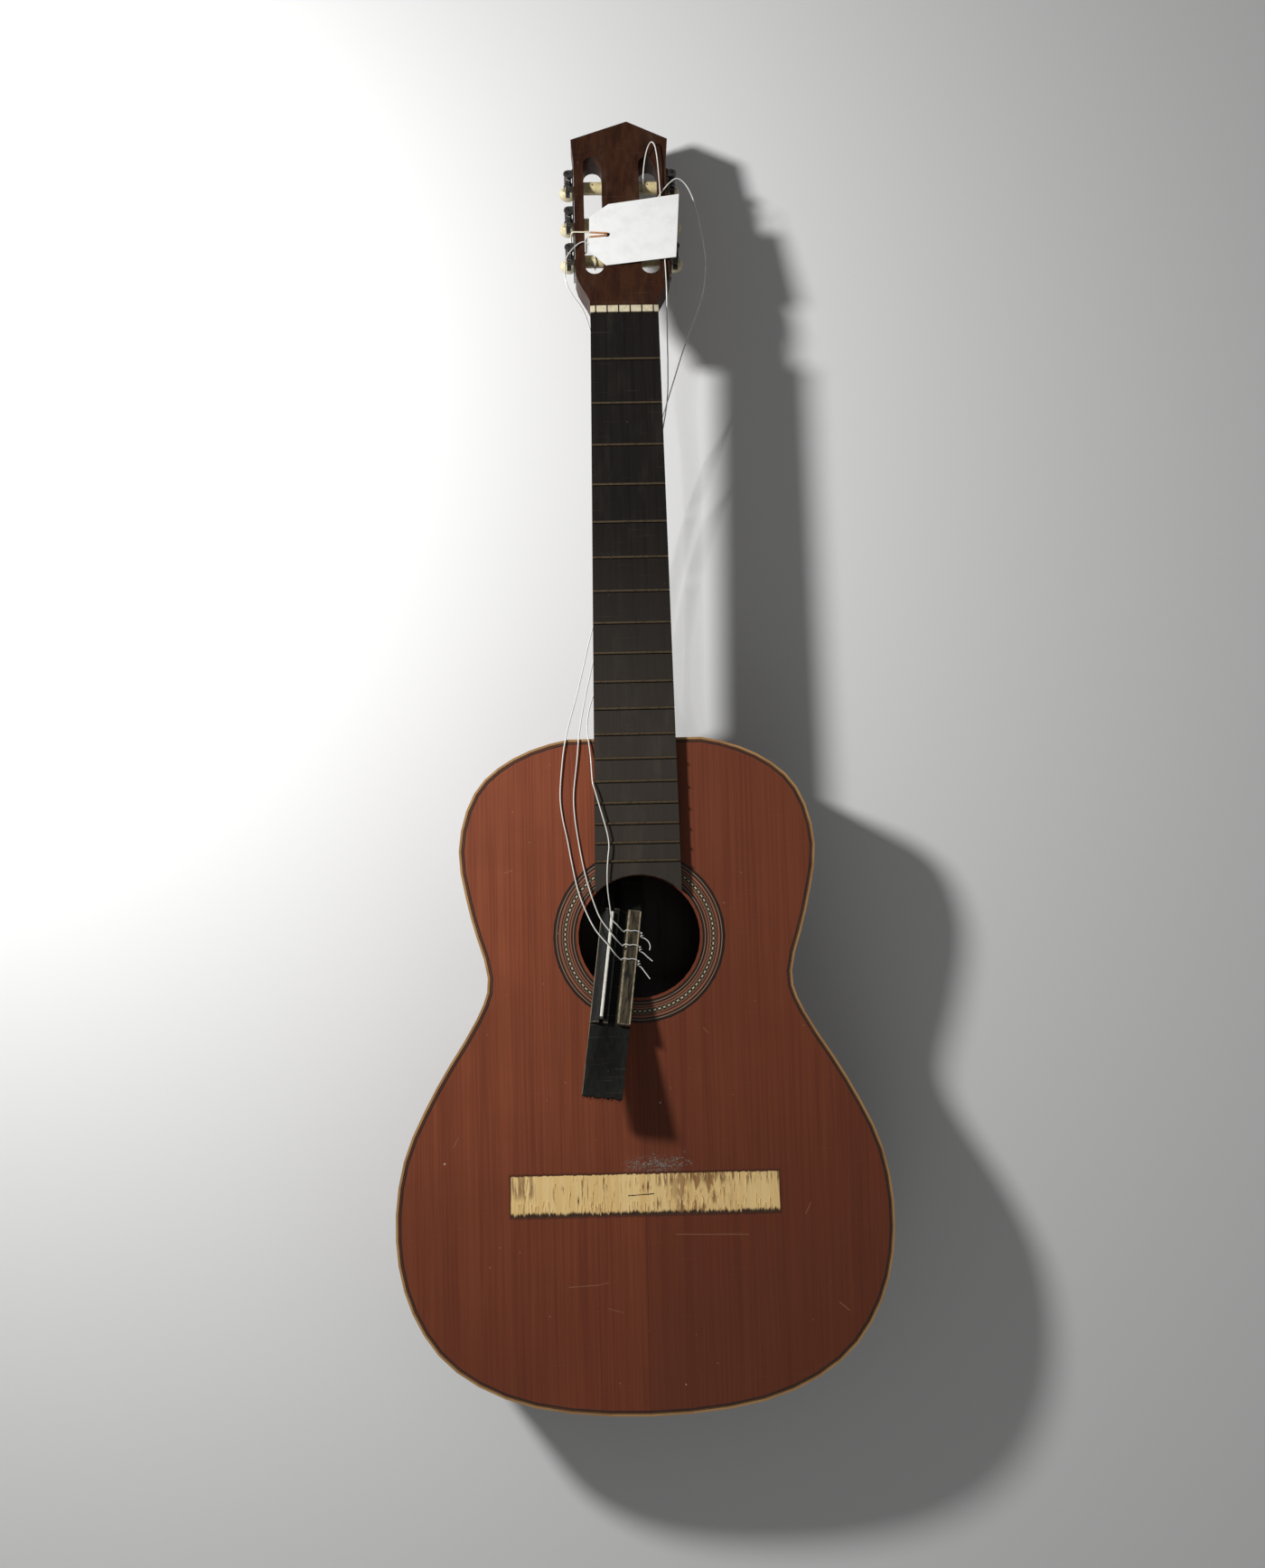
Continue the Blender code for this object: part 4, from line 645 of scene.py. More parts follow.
# %% Torn and stained wood on the strip
bare = use_group(tree, grain_group, Vector=place, Across=330.0, Along=16.0,
                 Light=(0.96, 0.70, 0.32, 1), Dark=(0.84, 0.55, 0.21, 1))["Color"]
fibres = noise(tree, stretched(tree, place, (520, 38, 60)), 1.0, 4.0, 0.65)
torn = ramp(tree, fibres, 0.56, 0.63)
patches = ramp(tree, noise(tree, place, 34.0, 3.0), 0.47, 0.62)
blots = noise(tree, stretched(tree, place, (210, 60, 60)), 1.0, 4.0, 0.6)
stain = maths(tree, "MULTIPLY", ramp(tree, blots, 0.47, 0.58),
              ramp(tree, maths(tree, "ABSOLUTE", maths(tree, "SUBTRACT", x, 0.040)), 0.030, 0.008))
bare = lay_over(tree, maths(tree, "MULTIPLY", stain, 0.85), bare, (0.30, 0.135, 0.045, 1))
bare = lay_over(tree, maths(tree, "MULTIPLY", torn, patches), bare, (0.22, 0.10, 0.035, 1))
low_edge = maths(tree, "ADD", tilted, maths(tree, "MULTIPLY", fibres, 0.0095))
bare = lay_over(tree, ramp(tree, low_edge, -0.0066, -0.0090), bare, (0.055, 0.028, 0.016, 1))
high_edge = maths(tree, "ADD", tilted, maths(tree, "MULTIPLY", ragged, 0.0030))
bare = lay_over(tree, maths(tree, "MULTIPLY", ramp(tree, high_edge, 0.0158, 0.0163), 0.85), bare,
                (0.13, 0.06, 0.03, 1))
worn_end = maths(tree, "MULTIPLY", ramp(tree, tilted, -0.005, 0.003),
                 maths(tree, "MULTIPLY", ramp(tree, x, -0.078, -0.086), ramp(tree, fibres, 0.44, 0.56)))
bare = lay_over(tree, maths(tree, "MULTIPLY", worn_end, 0.75), bare, (0.25, 0.12, 0.05, 1))
upper_tears = maths(tree, "MULTIPLY", ramp(tree, fibres, 0.50, 0.60),
                    maths(tree, "MULTIPLY", ramp(tree, tilted, 0.003, 0.011), ramp(tree, x, -0.008, 0.018)))
bare = lay_over(tree, maths(tree, "MULTIPLY", upper_tears, 0.85), bare, (0.17, 0.08, 0.03, 1))
split = use_group(tree, scratch_group, Vector=place, Start=(-0.0125, -0.0167, DEPTH),
                  End=(0.0062, -0.0158, DEPTH), Width=0.0007)["Mask"]
bare = lay_over(tree, split, bare, (0.035, 0.018, 0.010, 1))
print("torn wood", len(tree.nodes), "nodes")

# %% The dark rim, the gloss and the relief
dark_rim = maths(tree, "MULTIPLY", ramp(tree, to_side, 0.1012, 0.0994), ramp(tree, to_edge, 0.0172, 0.0152))
colour = lay_over(tree, maths(tree, "MULTIPLY", dark_rim, 0.65), colour, (0.030, 0.014, 0.009, 1))
colour = lay_over(tree, strip, colour, bare)
join(tree, colour, shader.inputs["Base Color"])
shader.inputs["Specular IOR Level"].default_value = 0.28
dull = lay_over(tree, strip, (0.46, 0.46, 0.46, 1), (0.85, 0.85, 0.85, 1))
join(tree, dull, shader.inputs["Roughness"])
relief = maths(tree, "MULTIPLY_ADD", strip, maths(tree, "MULTIPLY_ADD", fibres, 0.8, -1.2),
               maths(tree, "MULTIPLY", grain["Lines"], -0.16))
relief = maths(tree, "ADD", relief, maths(tree, "MULTIPLY", maths(tree, "MAXIMUM", marks, chips), -0.5))
join(tree, bump(tree, relief, 0.55, 0.0004), shader.inputs["Normal"])
print("bare strip", len(tree.nodes), "nodes")

# %% [markdown]
# ## Rings round the hole
# The inlay is flat, so its rings are a pattern and not shapes: the distance from the hole's centre
# chooses the ring, and the angle about it cuts the middle ring into small squares. Hundreds of real
# inlaid bits would look no different from here.

# %% Finish: ring inlay
HOLE_Y = 0.1735
RING_INNER = 0.048
RING_WIDTH = 0.016
BAND_START = 0.3675
BAND_END = 0.5675
BAND_ROWS = 3
SQUARES_ROUND = 188
rosette_inlay, tree, shader = new_finish("ring_inlay", 0.5)
place = own_place(tree)
axis = add(tree, "SeparateXYZ")
join(tree, place, axis.inputs[0])
x = axis.outputs[0]
y = maths(tree, "SUBTRACT", axis.outputs[1], HOLE_Y)
squared = maths(tree, "ADD", maths(tree, "MULTIPLY", x, x), maths(tree, "MULTIPLY", y, y))
radius = maths(tree, "SQRT", squared)
angle = maths(tree, "ARCTAN2", y, x)
rings = add(tree, "ValToRGB")
rings.color_ramp.interpolation = "CONSTANT"
black = (0.010, 0.008, 0.007, 1)
rose = (0.30, 0.105, 0.052, 1)
light = (0.34, 0.19, 0.105, 1)
stops = ((0.0, black), (0.07, light), (0.105, black), (0.195, rose), (0.255, black), (0.30, rose),
         (0.36, black), (0.575, rose), (0.62, black), (0.67, rose), (0.765, black), (0.845, light),
         (0.885, black))
for number, (spot, tone) in enumerate(stops):
    stop = rings.color_ramp.elements[number] if number < 2 else rings.color_ramp.elements.new(spot)
    stop.position = spot
    stop.color = tone
span = maths(tree, "DIVIDE", maths(tree, "SUBTRACT", radius, RING_INNER), RING_WIDTH)
join(tree, span, rings.inputs[0])
into_band = maths(tree, "SUBTRACT", span, BAND_START)
row = maths(tree, "FLOOR", maths(tree, "MULTIPLY", into_band, BAND_ROWS / (BAND_END - BAND_START)))
column = maths(tree, "FLOOR", maths(tree, "MULTIPLY", angle, SQUARES_ROUND / (2 * math.pi)))
checker = maths(tree, "MODULO", maths(tree, "ABSOLUTE", maths(tree, "ADD", row, column)), 2.0)
in_band = maths(tree, "MULTIPLY", maths(tree, "GREATER_THAN", span, BAND_START),
                maths(tree, "LESS_THAN", span, BAND_END))
middle = maths(tree, "LESS_THAN", maths(tree, "ABSOLUTE", maths(tree, "SUBTRACT", row, 1.0)), 0.5)
square = lay_over(tree, middle, (0.10, 0.075, 0.035, 1), (0.62, 0.55, 0.38, 1))
colour = lay_over(tree, maths(tree, "MULTIPLY", checker, in_band), rings.outputs[0], square)
age = ramp(tree, noise(tree, place, 60.0, 4.0), 0.35, 0.7)
colour = lay_over(tree, maths(tree, "MULTIPLY", age, 0.2), colour, (0.06, 0.03, 0.018, 1))
dust = use_group(tree, speck_group, Vector=place, Scale=150.0, Size=0.08, Share=0.15)["Mask"]
colour = lay_over(tree, maths(tree, "MULTIPLY", dust, 0.5), colour, (0.36, 0.28, 0.2, 1))
join(tree, colour, shader.inputs["Base Color"])
join(tree, bump(tree, rings.outputs[0], 0.25, 0.0002), shader.inputs["Normal"])
print("ring inlay", len(tree.nodes), "nodes")

# %% [markdown]
# ## Where the torn bridge lies
# The bridge leans on the lower rim of the hole. Its own frame is worked out as in the solid, so that
# wear can follow its edges and small pieces can be placed on it.

# %% The bridge's frame
HOLE_RADIUS = 0.0456
BRIDGE_X = -0.0184
BRIDGE_Y = 0.150
BRIDGE_TURN = math.radians(82.4)
BRIDGE_TILT = math.radians(19.0)
BRIDGE_WIDTH = 0.030
BRIDGE_HALF = 0.044
SEAT_EXTRA = 0.0001
WING_THICK = 0.0042
WING_END = 0.0985


def bridge_frame():
    """The bridge's own frame, as high as its tilt and the rim of the hole under its lower edge make it."""
    spun = Matrix.Rotation(BRIDGE_TURN, 3, "Z")
    edge = Vector((BRIDGE_X, BRIDGE_Y - HOLE_Y, 0)) + spun @ Vector((0, BRIDGE_WIDTH / 2, 0))
    along = spun @ Vector((1, 0, 0))
    slide = -edge.dot(along) - math.sqrt(edge.dot(along) ** 2 - edge.length_squared + HOLE_RADIUS ** 2)
    lift = DEPTH + GAP / math.cos(BRIDGE_TILT) + slide * math.tan(BRIDGE_TILT) + SEAT_EXTRA
    return (Matrix.Translation((BRIDGE_X, BRIDGE_Y, lift)) @ Matrix.Rotation(BRIDGE_TURN, 4, "Z")
            @ Matrix.Rotation(BRIDGE_TILT, 4, "Y"))


BRIDGE = bridge_frame()
print("bridge lies at", [round(v, 4) for v in BRIDGE.translation])

# %% [markdown]
# ## Dark woods
# The neck and head, the fingerboard, the bridge and the ribs are all dark, yet not alike. One
# function takes the two grain colours, the dust and the wear, and makes each its own finish.

# %% Finishes: dark woods
def dark_wood(name, light, dark, across, along, roughness, dust_tone, dust_share, scuff, shine,
              dust_from=None):
    """Grain in two tones, then haze, scuffs and specks of dust. Dust may gather along the length."""
    finish, tree, shader = new_finish(name, roughness)
    place = own_place(tree)
    grain = use_group(tree, grain_group, Vector=place, Across=across, Along=along, Light=light, Dark=dark)
    colour = grain["Color"]
    haze = ramp(tree, noise(tree, stretched(tree, place, (60, 14, 60)), 1.0, 5.0, 0.6), 0.48, 0.78)
    cover = maths(tree, "MULTIPLY", haze, dust_share)
    if dust_from:
        length = add(tree, "SeparateXYZ")
        join(tree, place, length.inputs[0])
        gathered = ramp(tree, length.outputs[1], *dust_from)
        cover = maths(tree, "MAXIMUM", maths(tree, "MULTIPLY", cover, 0.35),
                      maths(tree, "MULTIPLY", gathered, maths(tree, "MULTIPLY_ADD", haze, 0.35, 0.55)))
    colour = lay_over(tree, cover, colour, dust_tone)
    scuffed = use_group(tree, scuff_group, Vector=place, Amount=scuff)["Mask"]
    colour = lay_over(tree, scuffed, colour, dust_tone)
    specks = use_group(tree, speck_group, Vector=place, Scale=120.0, Size=0.07, Share=0.2)["Mask"]
    colour = lay_over(tree, maths(tree, "MULTIPLY", specks, 0.5), colour, dust_tone)
    join(tree, colour, shader.inputs["Base Color"])
    rough = maths(tree, "MULTIPLY_ADD", haze, 0.25, roughness)
    join(tree, rough, shader.inputs["Roughness"])
    join(tree, bump(tree, grain["Lines"], 0.25, 0.0002), shader.inputs["Normal"])
    shader.inputs["Specular IOR Level"].default_value = shine
    return finish


neck_wood = dark_wood("neck_wood", (0.056, 0.020, 0.009, 1), (0.021, 0.007, 0.004, 1), 240.0, 8.0, 0.42,
                      (0.13, 0.075, 0.045, 1), 0.34, 0.2, 0.2)
board_wood = dark_wood("board_wood", (0.011, 0.008, 0.007, 1), (0.005, 0.004, 0.003, 1), 420.0, 11.0, 0.6,
                       (0.070, 0.058, 0.045, 1), 0.55, 0.2, 0.15, dust_from=(0.52, 0.26))
bridge_wood = dark_wood("bridge_wood", (0.013, 0.013, 0.011, 1), (0.005, 0.005, 0.004, 1), 420.0, 12.0, 0.5,
                        (0.13, 0.11, 0.08, 1), 0.12, 0.35, 0.2)
rib_wood = dark_wood("rib_wood", (0.085, 0.034, 0.018, 1), (0.024, 0.012, 0.009, 1), 150.0, 6.0, 0.3,
                     (0.15, 0.10, 0.07, 1), 0.16, 0.25, 0.45)
print("dark woods ready")

# %% [markdown]
# ## Wear and a painted highlight on the bridge
# The tie block has worn to brown. A pale line is painted along the front edge and along the step to
# each wing: partly wear from handling, partly a painted highlight on those edges. A Mapping node turns
# the piece's own coordinates into the bridge's frame, so plain distances in it find the block and the edges.

# %% Bridge wear and painted edge highlight
BLOCK_FRONT = -0.0048
FRONT_EDGE = 0.0144
tree = bridge_wood.node_tree
shader = tree.nodes["Principled BSDF"]
lying = add(tree, "Mapping")
lying.vector_type = "TEXTURE"
lying.inputs["Location"].default_value = BRIDGE.translation
lying.inputs["Rotation"].default_value = BRIDGE.to_euler()
join(tree, own_place(tree), lying.inputs["Vector"])
parts = add(tree, "SeparateXYZ")
join(tree, lying.outputs["Vector"], parts.inputs[0])
along, across, above = parts.outputs[0], parts.outputs[1], parts.outputs[2]
from_end = maths(tree, "SUBTRACT", maths(tree, "ABSOLUTE", along), BRIDGE_HALF)
worn_grain = noise(tree, stretched(tree, lying.outputs["Vector"], (90, 500, 300)), 1.0, 4.0, 0.65)
patchy = ramp(tree, worn_grain, 0.35, 0.65)
on_block = maths(tree, "MULTIPLY", maths(tree, "LESS_THAN", across, BLOCK_FRONT),
                 maths(tree, "LESS_THAN", from_end, 0.0001))
colour = lay_over(tree, maths(tree, "MULTIPLY", maths(tree, "MULTIPLY", on_block, patchy), 0.8),
                  shader.inputs["Base Color"].links[0].from_socket, (0.105, 0.080, 0.045, 1))
# Painted highlight and wear: a pale line on the front edge and the steps, partly rubbed wood, partly light
# caught on the edges.
front = maths(tree, "MULTIPLY", maths(tree, "GREATER_THAN", across, FRONT_EDGE),
              maths(tree, "GREATER_THAN", above, WING_THICK - 0.0007))
step = maths(tree, "MULTIPLY", maths(tree, "LESS_THAN", maths(tree, "ABSOLUTE", from_end), 0.0004),
             maths(tree, "GREATER_THAN", above, WING_THICK + 0.0002))
rubbed_and_highlit = maths(tree, "MULTIPLY", maths(tree, "MAXIMUM", front, step),
               maths(tree, "MULTIPLY_ADD", patchy, 0.6, 0.4))
colour = lay_over(tree, maths(tree, "MULTIPLY", rubbed_and_highlit, 0.8), colour, (0.30, 0.24, 0.17, 1))
join(tree, colour, shader.inputs["Base Color"])
print("bridge wear", len(tree.nodes), "nodes")

# %% [markdown]
# ## Binding, bone, card and cord
# The light parts have yellowed. Each gets a faint stain and some dirt, so none is one flat colour.
# One function makes them all, because only their tones, their gloss and the size of the stain differ.

# %% Finishes: light parts
def pale_stuff(name, tone, stain, stain_share, roughness, scale, relief):
    """One tone, clouds and specks of a stain over it, and a faint relief."""
    finish, tree, shader = new_finish(name, roughness)
    place = own_place(tree)
    cloud = ramp(tree, noise(tree, place, scale, 5.0, 0.6), 0.38, 0.68)
    colour = lay_over(tree, maths(tree, "MULTIPLY", cloud, stain_share), tone, stain)
    specks = use_group(tree, speck_group, Vector=place, Scale=260.0, Size=0.10, Share=0.18)["Mask"]
    colour = lay_over(tree, maths(tree, "MULTIPLY", specks, 0.4), colour, stain)
    join(tree, colour, shader.inputs["Base Color"])
    join(tree, bump(tree, noise(tree, place, scale * 6, 3.0), relief, 0.0002), shader.inputs["Normal"])
    return finish, tree, shader


binding_wood = pale_stuff(
    "binding_wood", (0.46, 0.26, 0.10, 1), (0.26, 0.12, 0.05, 1), 0.5, 0.42, 28.0, 0.1)[0]
purfling_black = pale_stuff(
    "purfling_black", (0.022, 0.014, 0.010, 1), (0.09, 0.04, 0.02, 1), 0.3, 0.5, 60.0, 0.1)[0]
crust_grey = pale_stuff(
    "crust_grey", (0.27, 0.22, 0.18, 1), (0.13, 0.085, 0.06, 1), 0.9, 0.9, 400.0, 0.8)[0]
strip_bone = pale_stuff(
    "strip_bone", (0.33, 0.27, 0.16, 1), (0.10, 0.075, 0.045, 1), 0.85, 0.5, 260.0, 0.2)[0]
saddle_bone = pale_stuff(
    "saddle_bone", (0.80, 0.78, 0.70, 1), (0.45, 0.40, 0.30, 1), 0.35, 0.4, 300.0, 0.15)[0]
roller_cream = pale_stuff(
    "roller_cream", (0.76, 0.65, 0.36, 1), (0.48, 0.36, 0.15, 1), 0.55, 0.4, 240.0, 0.15)[0]
knob_cream = pale_stuff(
    "knob_cream", (0.72, 0.64, 0.42, 1), (0.42, 0.33, 0.18, 1), 0.5, 0.3, 180.0, 0.12)[0]
card = pale_stuff(
    "card", (0.93, 0.93, 0.92, 1), (0.66, 0.64, 0.58, 1), 0.25, 0.8, 90.0, 0.1)[0]
knot_nylon = pale_stuff(
    "knot_nylon", (0.70, 0.69, 0.66, 1), (0.45, 0.43, 0.38, 1), 0.4, 0.3, 120.0, 0.05)[0]
nylon, tree, shader = pale_stuff(
    "nylon", (0.84, 0.82, 0.77, 1), (0.55, 0.52, 0.45, 1), 0.3, 0.28, 120.0, 0.05)
shader.inputs["Coat Weight"].default_value = 0.3
print("light parts ready")

# %% [markdown]
# ## The nut's slots and the two tones of the tie
# The nut's slots are darker than its bone, and the tie is reddish over the card and pale beyond it.
# Both change with the distance across the guitar, so one coordinate is enough to place them.

# %% Finishes: nut and tie
SLOT_STEP = 0.00884
SLOT_HALF = 0.00052
nut_bone, tree, shader = pale_stuff(
    "nut_bone", (0.70, 0.62, 0.44, 1), (0.42, 0.33, 0.18, 1), 0.5, 0.42, 320.0, 0.15)
across = add(tree, "SeparateXYZ")
join(tree, own_place(tree), across.inputs[0])
cell = maths(tree, "MODULO", maths(tree, "ADD", across.outputs[0], 3 * SLOT_STEP), SLOT_STEP)
from_slot = maths(tree, "ABSOLUTE", maths(tree, "SUBTRACT", cell, SLOT_STEP / 2))
in_slot = maths(tree, "LESS_THAN", from_slot, SLOT_HALF)
clean = shader.inputs["Base Color"].links[0].from_socket
join(tree, lay_over(tree, in_slot, clean, (0.05, 0.03, 0.015, 1)), shader.inputs["Base Color"])
twine, tree, shader = pale_stuff(
    "twine", (0.62, 0.30, 0.14, 1), (0.42, 0.18, 0.08, 1), 0.6, 0.85, 500.0, 0.5)
across = add(tree, "SeparateXYZ")
join(tree, own_place(tree), across.inputs[0])
tanned = shader.inputs["Base Color"].links[0].from_socket
beyond_card = ramp(tree, across.outputs[0], -0.0235, -0.0260)
join(tree, lay_over(tree, beyond_card, tanned, (0.80, 0.72, 0.55, 1)), shader.inputs["Base Color"])
print("nut and tie ready")

# %% [markdown]
# ## Tuners and frets
# The tuners' plated metal has gone dull and dark in patches, and the frets are tarnished brass. Both
# stay metallic, and the tarnish changes their tone, their gloss and their relief together.

# %% Finishes: metals
def old_metal(name, tone, tarnish, roughness):
    """Bare metal with clouds of tarnish, which are also rougher."""
    finish, tree, shader = new_finish(name, roughness, 0.9)
    place = own_place(tree)
    cloud = ramp(tree, noise(tree, place, 260.0, 5.0, 0.65), 0.40, 0.62)
    colour = lay_over(tree, maths(tree, "MULTIPLY", cloud, 0.8), tone, tarnish)
    join(tree, colour, shader.inputs["Base Color"])
    join(tree, maths(tree, "MULTIPLY_ADD", cloud, 0.3, roughness), shader.inputs["Roughness"])
    join(tree, bump(tree, cloud, 0.2, 0.0002), shader.inputs["Normal"])
    return finish


tuner_metal = old_metal("tuner_metal", (0.20, 0.19, 0.18, 1), (0.035, 0.03, 0.025, 1), 0.35)
worm_metal = old_metal("worm_metal", (0.20, 0.19, 0.18, 1), (0.035, 0.03, 0.028, 1), 0.3)
fret_metal = old_metal("fret_metal", (0.17, 0.125, 0.075, 1), (0.07, 0.050, 0.032, 1), 0.45)
print("metals ready")

# %% [markdown]
# ## Dress the solids
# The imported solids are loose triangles, which shade as flat facets. They could be modelled again, but
# their shapes are right already. So a copy of each is merged, its round places are shaded smooth, and
# the copy stands in for the solid with the same shape.

# %% Copies of the solids, merged and dressed
MERGE_WITHIN = 0.000004
FLAT_WITHIN = math.radians(0.8)
body_of = {}
for body, members in frame["record"]["behaviour"]["bodies"].items():
    for member in members:
        body_of[member] = body


def dress(node, finish, smooth=32):
    """Stand a merged copy of a solid in for it, shaded smooth up to an angle between its faces."""
    shape = bmesh.new()
    shape.from_mesh(frame["nodes"][node].data)
    bmesh.ops.remove_doubles(shape, verts=shape.verts, dist=MERGE_WITHIN)
    bmesh.ops.dissolve_limit(shape, angle_limit=FLAT_WITHIN, verts=shape.verts, edges=shape.edges)
    mesh = bpy.data.meshes.new(node + "_dressed")
    shape.to_mesh(mesh)
    shape.free()
    mesh.materials.append(finish)
    mesh.shade_smooth()
    mesh.set_sharp_from_angle(angle=math.radians(smooth))
    piece = bpy.data.objects.new(node + "_dressed", mesh)
    bpy.context.scene.collection.objects.link(piece)
    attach(piece, body_of[node])
    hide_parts(node)
    return piece


# %% Each solid gets its finish
dress("soundboard", top_wood)
dress("rosette", rosette_inlay)
dress("back", rib_wood)
dress("side_bass", rib_wood)
dress("side_treble", rib_wood)
dress("top_binding", binding_wood)
dress("neck", neck_wood)
dress("fingerboard", board_wood)
dress("nut", nut_bone)
dress("bridge", bridge_wood)
dress("saddle", saddle_bone)
dress("tag", card)
for number in range(1, 19):
    dress("fret_%02d" % number, fret_metal, 60)
for name in ("tuner_plate_bass", "tuner_plate_treble"):
    dress(name, tuner_metal)
for number in range(1, 7):
    dress("roller_%d" % number, roller_cream, 40)
    dress("gear_%d" % number, tuner_metal)
    dress("worm_%d" % number, worm_metal, 50)
    dress("knob_%d" % number, knob_cream, 60)
for cord in cords.values():
    cord.data.materials.append(nylon)
tie.data.materials.append(twine)
print("dressed", len(body_of), "solids")

# %% [markdown]
# ## Lines inside the binding
# Two thin black lines run round the top just inside the binding. They could be painted into its
# finish, but a distance from such an outline is hard to work out with nodes. So each is a flat ring:
# the outline is drawn again from the solid's few widths and moved inwards twice.

# %% The body's outline
BODY_TOP = 0.3225
BODY_LENGTH = 0.498
LOWER_BOUT = 0.368
WAIST = 0.2272
UPPER_BOUT = 0.2674
SHOULDER_FLAT = 0.05
OUTLINE_STEPS = 3
OUTLINE = ((0.027, UPPER_BOUT, 0.688), (0.079, UPPER_BOUT, 0.909), (0.166, UPPER_BOUT, 1.0),
           (0.266, UPPER_BOUT, 0.939), (0.356, WAIST, 1.0), (0.417, WAIST, 1.078),
           (0.517, LOWER_BOUT, 0.8315), (0.623, LOWER_BOUT, 0.965), (0.738, LOWER_BOUT, 1.0),
           (0.844, LOWER_BOUT, 0.9375), (0.929, LOWER_BOUT, 0.766), (0.983, LOWER_BOUT, 0.4565))


def outline_inside(inset):
    """The closed outline of the top, moved inwards."""
    start = Vector((SHOULDER_FLAT, BODY_TOP))
    middle = [Vector((bout / 2 * share, BODY_TOP - BODY_LENGTH * down)) for down, bout, share in OUTLINE]
    tail = Vector((0, BODY_TOP - BODY_LENGTH))
    before = Vector((2 * SHOULDER_FLAT - middle[0].x, BODY_TOP))
    after = Vector((-middle[-1].x, middle[-1].y))
    half = curve_through([before, start] + middle + [tail, after], OUTLINE_STEPS)
    half = [Vector((0, BODY_TOP))] + half + [tail]
    moved = []
    for k, point in enumerate(half):
        if k == 0:
            moved.append(point + Vector((0, -inset)))
        elif k == len(half) - 1:
            moved.append(point + Vector((0, inset)))
        else:
            along = (half[k + 1] - half[k - 1]).normalized()
            moved.append(point + Vector((along.y, -along.x)) * inset)
    return moved + [Vector((-p.x, p.y)) for p in reversed(moved[1:-1])]


print("outline points", len(outline_inside(0)))

# %% A flat ring between two insets
def finish_piece(name, shape, finish, body, smooth=None):
    """Make a bmesh an object with a finish and a body."""
    bmesh.ops.recalc_face_normals(shape, faces=shape.faces)
    mesh = bpy.data.meshes.new(name)
    shape.to_mesh(mesh)
    shape.free()
    mesh.materials.append(finish)
    if smooth:
        mesh.shade_smooth()
        mesh.set_sharp_from_angle(angle=math.radians(smooth))
    piece = bpy.data.objects.new(name, mesh)
    bpy.context.scene.collection.objects.link(piece)
    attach(piece, body)
    return piece


def ring_of_line(name, outer, inner, low, high, finish):
    """A flat ring between the outline at two insets, from a low height to a high one."""
    shape = bmesh.new()
    rim = [shape.verts.new((p.x, p.y, low)) for p in outline_inside(outer)]
    hollow = [shape.verts.new((p.x, p.y, low)) for p in outline_inside(inner)]
    edges = [shape.edges.new((a, b)) for loop in (rim, hollow) for a, b in zip(loop, loop[1:] + loop[:1])]
    flat = bmesh.ops.bridge_loops(shape, edges=edges)["faces"]
    raised = bmesh.ops.extrude_face_region(shape, geom=flat)["geom"]
    lifted = [v for v in raised if isinstance(v, bmesh.types.BMVert)]
    bmesh.ops.translate(shape, verts=lifted, vec=(0, 0, high - low))
    return finish_piece(name, shape, finish, "guitar")


ring_of_line("purfling", 0.0029, 0.0040, DEPTH + 0.00002, DEPTH + 0.00010, purfling_black)
ring_of_line("purfling_outer", 0.0017, 0.0021, DEPTH + 0.00002, DEPTH + 0.00008, purfling_black)
print("purfling laid")

# %% [markdown]
# ## The torn strip up close
# Slivers of torn fibre stand up from the bare strip, and a crust of old glue lies above it. Relief in
# the finish alone throws no shadow, so both are real lumps. Each starts from one small shape, which is
# pulled and turned a little by chance and pressed flat on the top.

# %% Slivers
SLIVERS = 120
SLIVER_LOW_END = -0.0302
SLIVER_HIGH_END = -0.0012
chance = random.Random(7)
slivers = bmesh.new()
for k in range(SLIVERS):
    x = chance.uniform(-0.096, 0.097)
    low_side = chance.random() < 0.55
    y = chance.uniform(-0.0298, -0.0255) if low_side else chance.uniform(-0.027, -0.004)
    length = chance.uniform(0.003, 0.010)
    grown = bmesh.ops.create_cone(slivers, cap_ends=True, segments=5, radius1=chance.uniform(0.0003, 0.0007),
                                  radius2=0.0001, depth=length)["verts"]
    spin = Matrix.Rotation(math.pi / 2 + chance.uniform(-0.03, 0.03), 4, "X")
    yaw = Matrix.Rotation(chance.uniform(-0.05, 0.05), 4, "Z")
    flat = Matrix.Diagonal((1, 1, 0.45, 1))
    y = min(max(y, SLIVER_LOW_END + length / 2), SLIVER_HIGH_END - length / 2)
    spot = Matrix.Translation((x, y, DEPTH + 0.00012))
    bmesh.ops.transform(slivers, matrix=spot @ yaw @ flat @ spin, verts=grown)
print("sliver faces", len(slivers.faces))
finish_piece("torn_fibres", slivers, top_wood, "guitar")

# %% Glue crust
CRUST_LUMPS = 150
crust = bmesh.new()
for k in range(CRUST_LUMPS):
    x = chance.gauss(0.010, 0.015)
    y = 0.0035 + abs(chance.gauss(0, 0.0038))
    if not (-0.016 < x < 0.036 and y < 0.0145):
        continue
    grown = bmesh.ops.create_icosphere(crust, subdivisions=1, radius=chance.uniform(0.0002, 0.0007))["verts"]
    for v in grown:
        v.co *= chance.uniform(0.75, 1.25)
    press = Matrix.Diagonal((chance.uniform(0.8, 1.7), 1, 0.28, 1))
    spot = Matrix.Translation((x, y, DEPTH + 0.0001))
    bmesh.ops.transform(crust, matrix=spot @ press, verts=grown)
finish_piece("glue_crust", crust, crust_grey, "guitar", 60)
print("glue crust made")

# %% [markdown]
# ## Bone on the tie block
# The tie block has a worn bone strip along each edge. Each strip is a bar with its edges bevelled and
# its long faces shaken a little, so that it looks worn. It is set in the bridge's own frame.

